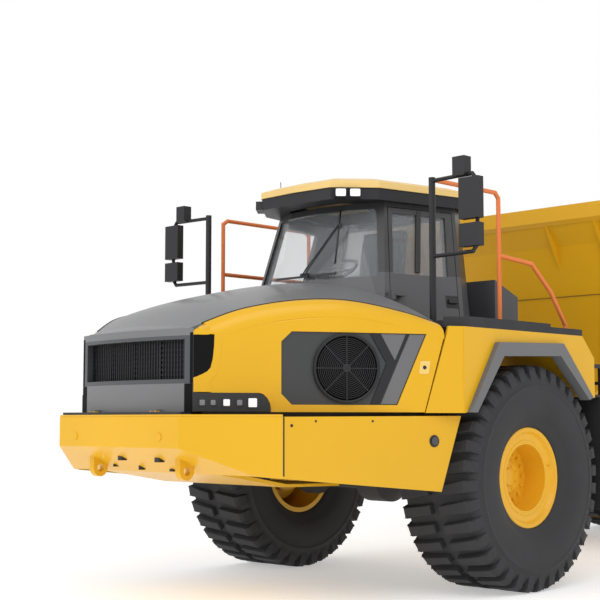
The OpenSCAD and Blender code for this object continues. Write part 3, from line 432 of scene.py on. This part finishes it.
def box(a0, b0, a1, b1):
    return [(a0, b0), (a1, b0), (a1, b1), (a0, b1)]


def disc(a, b, r, n=20):
    return [(a + r * math.cos(i * 2 * math.pi / n), b + r * math.sin(i * 2 * math.pi / n))
            for i in range(n)]


def rounded(points, r, steps=4):
    """A polygon with its corners rounded."""
    out = []
    n = len(points)
    for i, p in enumerate(points):
        p = Vector(p)
        a = Vector(points[i - 1]) - p
        b = Vector(points[(i + 1) % n]) - p
        k = min(r, a.length * 0.45, b.length * 0.45)
        a, b = a.normalized() * k, b.normalized() * k
        for j in range(steps + 1):
            t = j / steps
            out.append(tuple(p + a * (1 - t) ** 2 + b * t ** 2))
    return out


# Wheels

LUGS = 36
LUG_PATH = ((0.868, 0.398), (0.93, 0.403), (0.985, 0.389), (1.008, 0.376),
            (TYRE_R, 0.343), (TYRE_R, 0.17), (TYRE_R, 0.05))
SHOULDER_POINTS = 3
CROWN_HALF = 0.343
CARCASS = [(0.432, 0.2697), (0.4573, 0.2697), (0.4576, 0.300), (0.472, 0.319), (0.50, 0.338),
           (0.520, 0.343), (0.56, 0.374), (0.607, 0.399), (0.66, 0.411), (0.70, 0.4155),
           (0.757, 0.418), (0.80, 0.4155), (0.822, 0.415), (0.828, 0.4195), (0.842, 0.4195),
           (0.848, 0.408), (0.90, 0.392), (0.95, 0.368), (0.965, 0.34), (0.972, 0.2), (0.975, 0.0)]
DISC_FACE = 0.05


def wheel(side, y):
    """Places points drawn about a wheel's own axle, height being outward."""
    def to(a, b, h):
        return (side * (HUB_X + h), y + a, HUB_Z + b)
    return to


def draw_lug(form, to, row, mid):
    """One bar of the tread, bent over the shoulder, about the angle mid."""
    points = []
    for k, (r, h) in enumerate(LUG_PATH):
        on_crown = k >= SHOULDER_POINTS
        inner = (r - 0.07) if on_crown else r
        depth = h if on_crown else h - 0.05
        lean = 0.0 if k < 4 else (CROWN_HALF - h) * 0.16
        wide = (0.060 if k < 5 else 0.052) / TYRE_R
        for r2, h2, w2 in ((r, h, wide * 0.86), (inner, depth, wide)):
            for sign in (-1, 1):
                a = mid + lean * row + sign * w2
                points.append(to(r2 * math.cos(a), r2 * math.sin(a), h2 * row))
    faces = []
    for k in range(len(LUG_PATH) - 1):
        a, b = 4 * k, 4 * k + 4
        faces += [(a, a + 1, b + 1, b), (a, b, b + 2, a + 2), (a + 1, a + 3, b + 3, b + 1)]
    end = 4 * (len(LUG_PATH) - 1)
    faces += [(0, 2, 3, 1), (end, end + 1, end + 3, end + 2)]
    form.add(points, faces)


def draw_tyre(name, body, side, y):
    """Carcass with ribs on the sidewall and two rows of staggered lugs."""
    form = Form()
    to = wheel(side, y)
    profile = [(r, -h) for r, h in CARCASS[:-1]] + CARCASS[::-1]
    form.turned(profile + [profile[0]], to, 96)
    pitch = 2 * math.pi / LUGS
    for row in (1, -1):
        for i in range(LUGS):
            draw_lug(form, to, row, (i + 0.25 * row) * pitch)
    obj = form.piece(name, body, [TYRE], "tyre", bevel=0.007, segments=1)
    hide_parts(name.replace("_tread", ""))


def draw_wheel_bolts(name, body, side, y):
    """Nuts in the recess, a hub cap with its screws, a valve and the lock ring."""
    form = Form()
    to = wheel(side, y)

    def nut(radius, angle, low, high, size):
        ring = disc(radius * math.cos(angle), radius * math.sin(angle), size, 6)
        form.prism(ring, DISC_FACE + low, DISC_FACE + high, to)

    for i in range(16):
        nut(0.225, i * math.pi / 8, -0.002, 0.026, 0.016)
    for i in range(8):
        nut(0.115, (i + 0.5) * math.pi / 4, 0.028, 0.040, 0.011)
    cap = [(0.085, 0.0295), (0.085, 0.042), (0.07, 0.048), (0.0, 0.048)]
    form.turned([(r, DISC_FACE + h) for r, h in cap], to, 36)
    form.turned([(0.4585, 0.2995), (0.4585, 0.304), (0.446, 0.307), (0.434, 0.303),
                 (0.434, 0.2995)], to, 72)
    form.turned([(0.345, 0.2695), (0.345, 0.2735), (0.332, 0.2755), (0.319, 0.2735),
                 (0.319, 0.2695)], to, 60)
    form.pipe([to(0.36, 0.1, 0.268), to(0.36, 0.1, 0.292)], 0.008, 14)
    form.piece(name, body, [RIM], "rim_paint", bevel=0.002, segments=1)


def draw_wheels():
    for axle, y in AXLES.items():
        for word, side in SIDES.items():
            body = f"wheel_{axle}_{word}"
            draw_tyre(f"tyre_{axle}_{word}_tread", body, side, y)
            draw_wheel_bolts(f"rim_{axle}_{word}_bolts", body, side, y)


# Hood

# Sections of the hood: distance back from its front, height of its edge and of its crown.
STEPS = (0.0, 0.43, 1.12, 1.68, 2.02)
EDGE = (2.285, 2.47, 2.565, 2.47, 2.355)
CROWN = (2.33, 2.55, 2.735, 2.83, 2.85)
NOSE_BULGE = 0.09
SHOULDER = 0.1
SKIN = 0.003
SKIN_ROWS = 40
BEND_POINTS = 13
LAMP_Z = 1.695
FAN_S, FAN_Z = 1.306, 1.985


def flank(side):
    """Places (distance along the hood side, height, distance out of it)."""
    def to(s, z, t):
        x = HOOD_HALF + s * math.sin(FLARE) + t * math.cos(FLARE)
        y = HOOD_Y + s * math.cos(FLARE) - t * math.sin(FLARE)
        return (side * x, y, z)
    return to


def nose(x, z, t):
    """Places (x, height, distance out of the curved nose)."""
    r = (HOOD_HALF ** 2 + NOSE_BULGE ** 2) / (2 * NOSE_BULGE)
    y = HOOD_Y - NOSE_BULGE + r - math.sqrt((r + t) ** 2 - x ** 2)
    return (x, y, z)


def hood_half(y):
    """Half width of the hood, y back from its front."""
    return HOOD_HALF + math.tan(FLARE) * y


def hood_line(heights, y):
    """Height of a smooth line through the hood's sections, y back from its front."""
    k = max(i for i in range(4) if STEPS[i] <= y or i == 0)
    slopes = [(heights[i + 1] - heights[i]) / (STEPS[i + 1] - STEPS[i]) for i in range(4)]
    lean = [slopes[0]] + [(slopes[i] + slopes[i + 1]) / 2 for i in range(3)] + [slopes[3]]
    run = STEPS[k + 1] - STEPS[k]
    t = (y - STEPS[k]) / run
    return (heights[k] * (1 + 2 * t) * (1 - t) ** 2 + heights[k + 1] * t * t * (3 - 2 * t)
            + run * (lean[k] * t * (1 - t) ** 2 - lean[k + 1] * t * t * (1 - t)))


def shoulder_row(side, y):
    """Rounded shoulder of the hood, y back from its front."""
    x, z = hood_half(y) + 0.0015, hood_line(EDGE, y)
    bend = ((0.0, max(z - 0.15, 2.252)), (0.0, z - 0.04), (-0.055, z - 0.008), (-SHOULDER, z + SKIN))
    row = []
    for j in range(BEND_POINTS):
        t = j / (BEND_POINTS - 1)
        shares = ((1 - t) ** 3, 3 * t * (1 - t) ** 2, 3 * t * t * (1 - t), t ** 3)
        out, high = (sum(k * q[i] for k, q in zip(shares, bend)) for i in (0, 1))
        row.append((side * (x + out), HOOD_Y + y, high))
    return row


def shoulder_sink(side):
    return (-0.006 * side, 0, -0.004)


def draw_brow(form, side):
    """Yellow corner above the notch, running into the hood's shoulder."""
    to = flank(side)
    half = BEND_POINTS // 2
    rows = []
    # Distance along the side, then (height, distance out) of three points across the corner
    for s, profile in ((0.004, ((2.245, 0.003), (2.262, 0.003), (2.277, 0.003))),
                       (0.03, ((2.245, 0.003), (2.280, 0.003), (2.297, 0.002))),
                       (0.06, ((2.245, 0.003), (2.299, 0.003), (2.314, -0.05))),
                       (0.112, ((2.245, 0.003), (2.299, 0.001), (2.337, -0.085)))):
        row = []
        for j in range(BEND_POINTS):
            (z0, t0), (z1, t1) = profile[:2] if j < half else profile[1:]
            k = (j if j < half else j - half) / half
            row.append(to(s, z0 + (z1 - z0) * k, t0 + (t1 - t0) * k))
        rows.append(row)
    rows.append(shoulder_row(side, 0.131))
    form.shell(rows, shoulder_sink(side))


def draw_notches():
    """Recesses at the nose corners, drawn near-black as painted shade, and the yellow edges around
    them.
    """
    notch, patch = Form(), Form()
    for side in SIDES.values():
        to = flank(side)
        notch.prism([(0.004, 1.862), (0.11, 1.864), (0.182, 1.914), (0.219, 2.002), (0.229, 2.13),
                     (0.232, 2.243), (0.004, 2.243)], -0.0115, 0.002, to)
        notch.prism([(0.004, 2.2), (0.30, 2.2), (0.30, 2.262), (0.004, 2.255)], -0.05, -0.031, to)
        notch.prism(box(side * 0.722, 1.85, side * 0.748, 2.262), -0.004, 0.003, nose)
        notch.prism(box(side * 0.668, 1.622, side * 0.748, 1.848), -0.004, 0.003, nose)
        patch.prism([(0.004, 1.78), (0.1475, 1.78), (0.1475, 1.884), (0.11, 1.861),
                     (0.004, 1.858)], -0.002, 0.0035, to)
        draw_brow(patch, side)
        patch.prism([(0.1755, 2.252), (0.172, 2.15), (0.162, 2.05), (0.144, 1.977), (0.116, 1.946),
                     (0.078, 1.926), (0.038, 1.908), (0.003, 1.895), (0.003, 1.856), (0.112, 1.858),
                     (0.187, 1.908), (0.225, 2.0), (0.235, 2.13), (0.239, 2.252)],
                    -0.011, 0.0025, to)
        patch.prism([(0.552, 1.777), (0.655, 1.777), (0.655, 1.64), (0.643, 1.69), (0.618, 1.735),
                     (0.588, 1.763)], -0.004, 0.0095, to)
    notch.piece("hood_notches", "hood", [SHADE_BLACK], "black_steel")
    patch.piece("hood_patches", "hood", [YELLOW], "yellow_paint", bevel=0.0015)


def draw_headlamps():
    """Covers with a rounded end, and five small lenses in each."""
    form = Form()
    cover = [(0.0, 1.622), (0.652, 1.622), (0.64, 1.69), (0.615, 1.735), (0.585, 1.762),
             (0.55, 1.774), (0.0, 1.774)]
    lit, unlit = 1, 2
    lenses = ((0.075, 0.022, unlit), (0.165, 0.02, unlit), (0.277, 0.027, lit),
              (0.385, 0.022, unlit), (0.495, 0.036, lit))
    for side in SIDES.values():
        to = flank(side)
        form.prism(cover, -0.006, 0.008, to)
        for s, half, skin in lenses:
            case = half + 0.014
            for reach, r, low, high, k in ((case, 0.014, 0.007, 0.012, 0),
                                           (half, 0.009, 0.011, 0.0145, skin)):
                square = box(s - reach, LAMP_Z - reach, s + reach, LAMP_Z + reach)
                form.prism(rounded(square, r), low, high, to, k)
    form.piece("headlamp_covers", "hood", [SATIN, WHITE_LENS, GREY_LENS], "black_plastic", bevel=0.002)


def draw_fans():
    """Fan guards: fine rings on a near-black disc, held by spokes; the disc is painted shade filling
    the opening behind the guard.
    """
    form = Form()
    for side in SIDES.values():
        to = flank(side)

        def at(a, b, t):
            return to(FAN_S + a, FAN_Z + b, t)
        form.turned([(0.0, 0.006), (0.286, 0.006), (0.286, -0.004)], at, 64, 1)
        form.turned([(0.292, -0.006), (0.292, 0.016), (0.286, 0.02), (0.272, 0.02),
                     (0.268, 0.006)], at, 64)
        for i in range(13):
            r = 0.052 + 0.0165 * i
            form.turned([(r - 0.003, 0.005), (r - 0.003, 0.012), (r + 0.003, 0.012),
                         (r + 0.003, 0.005)], at, 56)
        form.turned([(0.04, 0.005), (0.04, 0.015), (0.03, 0.018), (0.0, 0.018)], at, 32)
        for k in range(8):
            c, d = math.cos(k * math.pi / 4), math.sin(k * math.pi / 4)
            spoke = [(u * c - v * d, u * d + v * c) for u, v in
                     ((0.035, 0.005), (0.27, 0.005), (0.27, -0.005), (0.035, -0.005))]
            form.prism(spoke, 0.005, 0.014, at)
    form.piece("fan_guards", "hood", [BLACK, SHADE_BLACK], "black_steel")


def draw_intake_bars():
    """Dark bent bar and strut behind each fan, with grey plates between."""
    form = Form()
    for side in SIDES.values():
        to = flank(side)
        form.prism([(1.52, 2.28), (1.61, 2.28), (1.755, 2.03), (1.60, 1.684), (1.52, 1.684),
                    (1.665, 2.03)], -0.014, -0.002, to)
        form.prism([(1.845, 2.28), (1.872, 2.28), (1.752, 2.025), (1.735, 2.04)],
                   -0.014, -0.004, to)
        form.prism([(1.615, 2.279), (1.843, 2.279), (1.742, 2.052)], -0.014, -0.008, to, 1)
        form.prism([(1.878, 2.279), (2.018, 2.279), (1.754, 1.687), (1.612, 1.687),
                    (1.764, 2.03)], -0.014, -0.008, to, 1)
    form.piece("intake_bars", "hood", [BLACK, TRIM], "black_steel", bevel=0.002)


def draw_latches():
    form = Form()
    plate = rounded([(1.955, 1.945), (2.045, 1.945), (2.06, 2.055), (1.97, 2.055)], 0.012)
    for side in SIDES.values():
        to = flank(side)
        form.prism(plate, -0.002, 0.005, to)
        form.prism(disc(2.006, 2.0, 0.016, 16), 0.004, 0.011, to, 1)
    form.piece("hood_latches", "hood", [PALE, BLACK], "yellow_paint", bevel=0.0015)


def draw_joint_shade_lines():
    """Black lines along the joint where the grey top meets the yellow shoulders: painted shade of the
    shadowed edge there.
    """
    form = Form()
    for side in SIDES.values():
        edge = []
        for k in range(31):
            y = 0.12 + 1.82 * k / 30
            edge.append((side * (hood_half(y) - SHOULDER), HOOD_Y + y, hood_line(EDGE, y) + SKIN))
        form.pipe(edge, 0.007, 8)
    form.piece("hood_joint_shade_lines", "hood", [BLACK], "black_plastic")


def draw_hood_skins():
    """The hood's top and shoulders as smooth sheets over their sections."""
    top, shoulders = Form(), Form()
    across = [i / 16 - 1 for i in range(33)]
    front_half = 0.652
    rows = [[nose(q * front_half, 2.2985, -0.006) for q in across]]
    rows.append([(q * front_half, (first[1] + HOOD_Y) / 2, 2.304 + 0.018 * (1 - q * q))
                 for first, q in zip(rows[0], across)])
    for i in range(SKIN_ROWS):
        y = 1.95 * i / (SKIN_ROWS - 1)
        half = hood_half(y) - SHOULDER
        low, high = hood_line(EDGE, y), hood_line(CROWN, y)
        rows.append([(q * half, HOOD_Y + y, low + (high - low) * (1 - q * q) + SKIN)
                     for q in across])
    top.shell(rows, (0, 0, -0.008))
    for side in SIDES.values():
        rows = [shoulder_row(side, 0.13 + 1.8 * i / (SKIN_ROWS - 1)) for i in range(SKIN_ROWS)]
        shoulders.shell(rows, shoulder_sink(side))
    top.piece("hood_top_skin", "hood", [GREY], "grey_paint")
    shoulders.piece("hood_shoulder_skins", "hood", [YELLOW], "yellow_paint")


def draw_grille_slats():
    form = Form()
    for i in range(41):
        x = -0.64 + 0.032 * i
        form.prism(box(x - 0.004, 1.89, x + 0.004, 2.21), -0.0595, -0.052, nose)
    form.piece("grille_slats", "hood", [BLACK], "black_steel")


# Bumper and side panels

KNEE_Z, KNEE_DROP, KNEE_RAKE = 1.33, 0.22, 0.45
BUMPER_TOP = 1.579


def panel(side):
    """Places (distance back along the side panel, height, distance out of it)."""
    run = Vector((0.40, 1.75)).normalized()

    def to(s, z, t):
        return (side * (1.38 + run.x * s + run.y * t), -5.41 + run.y * s - run.x * t, z)
    return to


def knee_y(z):
    """Where the sloping lower face of the bumper stands at a height."""
    return NOSE_Y + KNEE_RAKE * ((KNEE_Z - z) / KNEE_DROP)


def draw_bumper_trim():
    """Plugs, drain holes, the panel joint, markers, the seal strip and the bead along the lip."""
    bumps, dark, rings = Form(), Form(), Form()

    def front(x, z, t):
        return (x, NOSE_Y - t, z)
    for side in SIDES.values():
        bumps.prism(disc(side * 0.57, 1.418, 0.032), -0.002, 0.009, front)
        to = panel(side)
        dark.prism([(-0.006, 1.112), (0.006, 1.108), (0.006, 1.578), (-0.006, 1.578)],
                   -0.003, 0.0012, to)
        dark.prism(disc(0.072, 1.51, 0.013), -0.002, 0.002, to)
        rings.prism(disc(1.50, 1.376, 0.052), -0.002, 0.006, to)
        rings.prism(disc(1.50, 1.376, 0.036), 0.005, 0.014, to, 1)
        for s in (0.30, 0.86):
            dark.prism(disc(s, 1.545, 0.010, 12), -0.002, 0.003, to)
    for x, z, w, h in ((-0.157, 1.236, 0.026, 0.022), (0.333, 1.232, 0.03, 0.024),
                       (-0.104, 1.153, 0.01, 0.022), (0.28, 1.136, 0.022, 0.010),
                       (-0.44, 1.161, 0.012, 0.010)):
        y = knee_y(z)
        dark.block((x - w, y - 0.03, z - h), (x + w, y + 0.03, z + h))
    for low, high in ((-0.78, -0.47), (-0.37, 0.37), (0.47, 0.78)):
        dark.block((low, -5.90, BUMPER_TOP), (high, -5.86, 1.612))
    dark.block((-0.80, -5.995, BUMPER_TOP), (0.80, -5.976, 1.62))
    lip = [(1.37, -5.412, 1.588), (0.808, -6.008, 1.588), (-0.808, -6.008, 1.588),
           (-1.37, -5.412, 1.588)]
    bumps.pipe(lip, 0.0115, 12)
    bumps.piece("bumper_bumps", "front_unit", [YELLOW], "yellow_paint", bevel=0.004)
    dark.piece("bumper_holes", "front_unit", [SATIN], "black_plastic")
    rings.piece("side_markers", "front_unit", [SATIN, LAMP_GLASS], "black_plastic", bevel=0.002)


# Cab

def windshield(x, z, t):
    """Places (x, height, distance out) on the sloping windshield."""
    return (x, -3.9 + (z - DECK_Z) * 0.28 / CAB_HEIGHT - t, z)


def door_side(k, z, t):
    """Places (share of the way back, height, distance out) on the cab's leaning left side."""
    low = Vector((0.93 + 0.21 * k, -3.68 + 0.92 * k))
    high = Vector((0.71 + 0.19 * k, -3.425 + 0.825 * k))
    p = low.lerp(high, (z - DECK_Z) / CAB_HEIGHT)
    return (p.x + t * 0.965, p.y - t * 0.2, z + t * 0.16)


def draw_wiper():
    form = Form()
    for off in (0.0, 0.035):
        form.pipe([windshield(-0.02 + off, 2.94, 0.02), windshield(0.02 + off, 2.99, 0.035),
                   windshield(0.36 + off * 0.4, 3.40, 0.03)], 0.007, 8)
    form.block((-0.05, -3.80, 2.925), (0.05, -3.775, 2.965))
    form.pipe([windshield(0.39, 3.03, 0.012), windshield(0.37, 3.30, 0.014),
               windshield(0.35, 3.56, 0.012)], 0.009, 8)
    form.block((0.35, -3.70, 3.37), (0.40, -3.68, 3.42))
    form.piece("wiper", "front_unit", [SATIN], "black_plastic")


def draw_door_trim():
    """The pillar between the door's panes, and the handle in its cup."""
    pillar, handle = Form(), Form()
    pillar.prism([(0.40, 2.945), (0.46, 2.945), (0.504, 3.565), (0.444, 3.565)],
                 -0.02, 0.006, door_side)
    handle.prism(rounded(box(0.80, 2.66, 0.92, 2.70), 0.01), 0.0, 0.03, door_side)
    handle.prism(box(0.78, 2.62, 0.94, 2.74), -0.004, 0.005, door_side)
    pillar.piece("door_pillar", "door", [SATIN], "black_plastic", bevel=0.003)
    handle.piece("door_handle", "door", [SATIN], "black_plastic", bevel=0.003)


def roof_corner(side):
    """Places (distance along, height, distance out) on a cut front corner of the roof."""
    turn = math.atan2(0.34, 0.31)

    def to(s, z, t):
        x = 0.46 + s * math.cos(turn) + t * math.sin(turn)
        y = -3.91 + s * math.sin(turn) - t * math.cos(turn)
        return (side * x, y, z)
    return to


def draw_roof_lenses():
    form = Form()
    for side in SIDES.values():
        to = roof_corner(side)
        for s in (0.04, 0.175):
            glass = box(s + 0.008, 3.638, s + 0.102, 3.707)
            case = box(s + 0.002, 3.632, s + 0.108, 3.713)
            form.prism(rounded(glass, 0.012), 0.069, 0.076, to, 1)
            form.prism(rounded(case, 0.012), 0.066, 0.073, to)
    form.piece("roof_lenses", "front_unit", [SATIN, WHITE_LENS], "black_plastic", bevel=0.0015)


def draw_windshield_seal():
    form = Form()
    form.prism(box(-0.40, 2.925, 0.40, 2.945), -0.018, 0.003, windshield)
    form.piece("windshield_seal", "front_unit", [SATIN], "black_plastic")


def draw_aerial():
    form = Form()
    form.pipe([(-0.62, -3.5, 3.80), (-0.62, -3.5, 3.84)], 0.014, 10)
    form.pipe([(-0.62, -3.5, 3.84), (-0.63, -3.5, 3.975)], 0.004, 8)
    form.piece("aerial", "front_unit", [SATIN], "black_plastic")


def draw_mirror_glass():
    form = Form()
    for side in SIDES.values():
        def face(x, z, y):
            return (side * x, y, z)
        for low, high in ((3.295, 3.625), (3.05, 3.23)):
            form.prism(rounded(box(1.908, low, 2.092, high), 0.02), -3.7305, -3.727, face)
    form.piece("mirror_glass", "front_unit", [GLASS_MIRROR], "rod_chrome", bevel=0.001)


def bow(x, k):
    return math.copysign(abs(x) ** k, x)


def draw_pad(name, centre, half, lean):
    """A crowned cushion, leaning back by an angle."""
    points, faces, n, m = [], [], 28, 14
    c, d = math.cos(lean), math.sin(lean)
    for j in range(m + 1):
        v = math.pi * j / m - math.pi / 2
        for i in range(n):
            u = 2 * math.pi * i / n
            x = half[0] * bow(math.cos(v), 0.35) * bow(math.cos(u), 0.35)
            y = half[1] * bow(math.cos(v), 0.35) * bow(math.sin(u), 0.35)
            crown = 1.0 + 0.25 * math.cos(x / half[0] * 1.4) * math.cos(y / half[1] * 1.4)
            z = half[2] * bow(math.sin(v), 0.55) * crown
            points.append((centre[0] + x, centre[1] + y * c - z * d, centre[2] + y * d + z * c))
    for j in range(m):
        a, b = j * n, (j + 1) * n
        faces += [(a + i, a + (i + 1) % n, b + (i + 1) % n, b + i) for i in range(n)]
    form = Form()
    form.add(points, faces, curved=True)
    form.piece(name, "front_unit", [CLOTH], "black_plastic")


def draw_seat():
    draw_pad("seat_cushion", (0.0, -2.93, 2.925), (0.265, 0.25, 0.06), 0.0)
    draw_pad("seat_back", (0.0, -2.68, 3.16), (0.255, 0.30, 0.06), math.radians(82.0))


# Rear

def draw_wall_crease_shade():
    """A thin strip, a little proud, across the front wall of the body where its two plates meet; its
    dark colour is painted shade of the crease.
    """
    form = Form()
    form.block((-1.66, -0.3965, 2.913), (1.66, -0.38, 2.924))
    form.piece("wall_crease_shade", "tipper", [CREASE_SHADE], "yellow_paint")


def draw_tail_lenses():
    form = Form()
    for side in SIDES.values():
        def face(x, z, t):
            return (side * x, 4.8003 + t, z)
        for skin, (low, high) in enumerate(((0.71, 0.80), (0.81, 0.87), (0.88, 0.93))):
            form.prism(rounded(box(low, 1.222, high, 1.284), 0.01), -0.001, 0.006, face, skin)
    form.piece("tail_lenses", "rear_unit", [RED_LENS, AMBER_LENS, WHITE_LENS], "lamp_red", bevel=0.0015)


def draw_axle_bolts():
    """Bolt rings on the brake covers."""
    count, radius, low, high = 16, 0.215, 1.029, 1.042
    groups = {"front_unit": (AXLES["front"],), "rear_unit": (AXLES["mid"], AXLES["rear"])}
    for body, places in groups.items():
        form = Form()
        for y in places:
            for side in SIDES.values():
                def cover(u, v, x):
                    return (side * x, y + u, HUB_Z + v)
                for a, b in disc(0.0, 0.0, radius, count):
                    form.prism(disc(a, b, 0.013, 6), low, high, cover)
        form.piece(f"axle_bolts_{body}", body, [IRON], "cast_black")


# Stage

def draw_floor():
    mesh = bpy.data.meshes.new("floor")
    reach = 120
    mesh.from_pydata([(*p, 0) for p in box(-reach, -reach, reach, reach)], [], [(0, 1, 2, 3)])
    floor = bpy.data.objects.new("floor", mesh)
    bpy.context.scene.collection.objects.link(floor)
    f = Finish("studio_floor")
    grain = f.noise(0.35, 3.0)
    f.set(Base_Color=f.mix(grain, (0.90, 0.90, 0.90), (0.92, 0.92, 0.92)),
          Roughness=0.75 + grain * 0.1, Emission_Color=(1.0, 1.0, 1.0), Emission_Strength=0.40)
    mesh.materials.append(f.mat)


def set_sky():
    """White to the eye, in reflections and through glass, and softer as light on the truck."""
    world = bpy.data.worlds.new("studio")
    bpy.context.scene.world = world
    world.use_nodes = True
    tree = world.node_tree
    tree.nodes.clear()
    seen = add_node(tree, "ShaderNodeLightPath", out="Is Camera Ray")
    for kind in ("Is Glossy Ray", "Is Transmission Ray"):
        seen = seen + add_node(tree, "ShaderNodeLightPath", out=kind)
    soft, white = (add_node(tree, "ShaderNodeBackground", inputs={0: (1.0, 1.0, 1.0, 1.0), 1: strength})
                   for strength in (0.62, 1.0))
    join = add_node(tree, "ShaderNodeMixShader", inputs={0: seen.held(), 1: soft, 2: white})
    add_node(tree, "ShaderNodeOutputWorld", inputs={0: join})


def set_light(name, place, aim, size, power):
    data = bpy.data.lights.new(name, "AREA")
    data.energy = power
    data.size = size
    lamp = bpy.data.objects.new(name, data)
    lamp.location = place
    lamp.rotation_euler = (Vector(aim) - Vector(place)).to_track_quat("-Z", "Y").to_euler()
    bpy.context.scene.collection.objects.link(lamp)


def set_camera():
    data = bpy.data.cameras.new("camera")
    data.lens = 77.4
    data.sensor_width = 36.0
    data.clip_end = 500.0
    camera = bpy.data.objects.new("camera", data)
    camera.location = (8.72, -12.57, 1.55)
    turn, rise = math.radians(45.0), math.radians(5.34)
    flat = math.cos(rise)
    look = Vector((-math.sin(turn) * flat, math.cos(turn) * flat, math.sin(rise)))
    camera.rotation_euler = look.to_track_quat("-Z", "Y").to_euler()
    bpy.context.scene.collection.objects.link(camera)
    bpy.context.scene.camera = camera


dress_solids()
draw_wheels()
draw_notches()
draw_headlamps()
draw_fans()
draw_intake_bars()
draw_latches()
draw_joint_shade_lines()
draw_hood_skins()
draw_grille_slats()
draw_bumper_trim()
draw_wiper()
draw_door_trim()
draw_roof_lenses()
draw_windshield_seal()
draw_aerial()
draw_mirror_glass()
draw_seat()
draw_wall_crease_shade()
draw_tail_lenses()
draw_axle_bolts()

draw_floor()
set_sky()
set_light("key", (9.0, -9.0, 12.0), (0.5, -3.5, 1.5), 9.0, 580.0)
set_light("front", (-3.0, -16.0, 9.0), (0.0, -5.0, 1.8), 8.0, 470.0)
set_camera()
bpy.context.scene.view_settings.view_transform = "Standard"
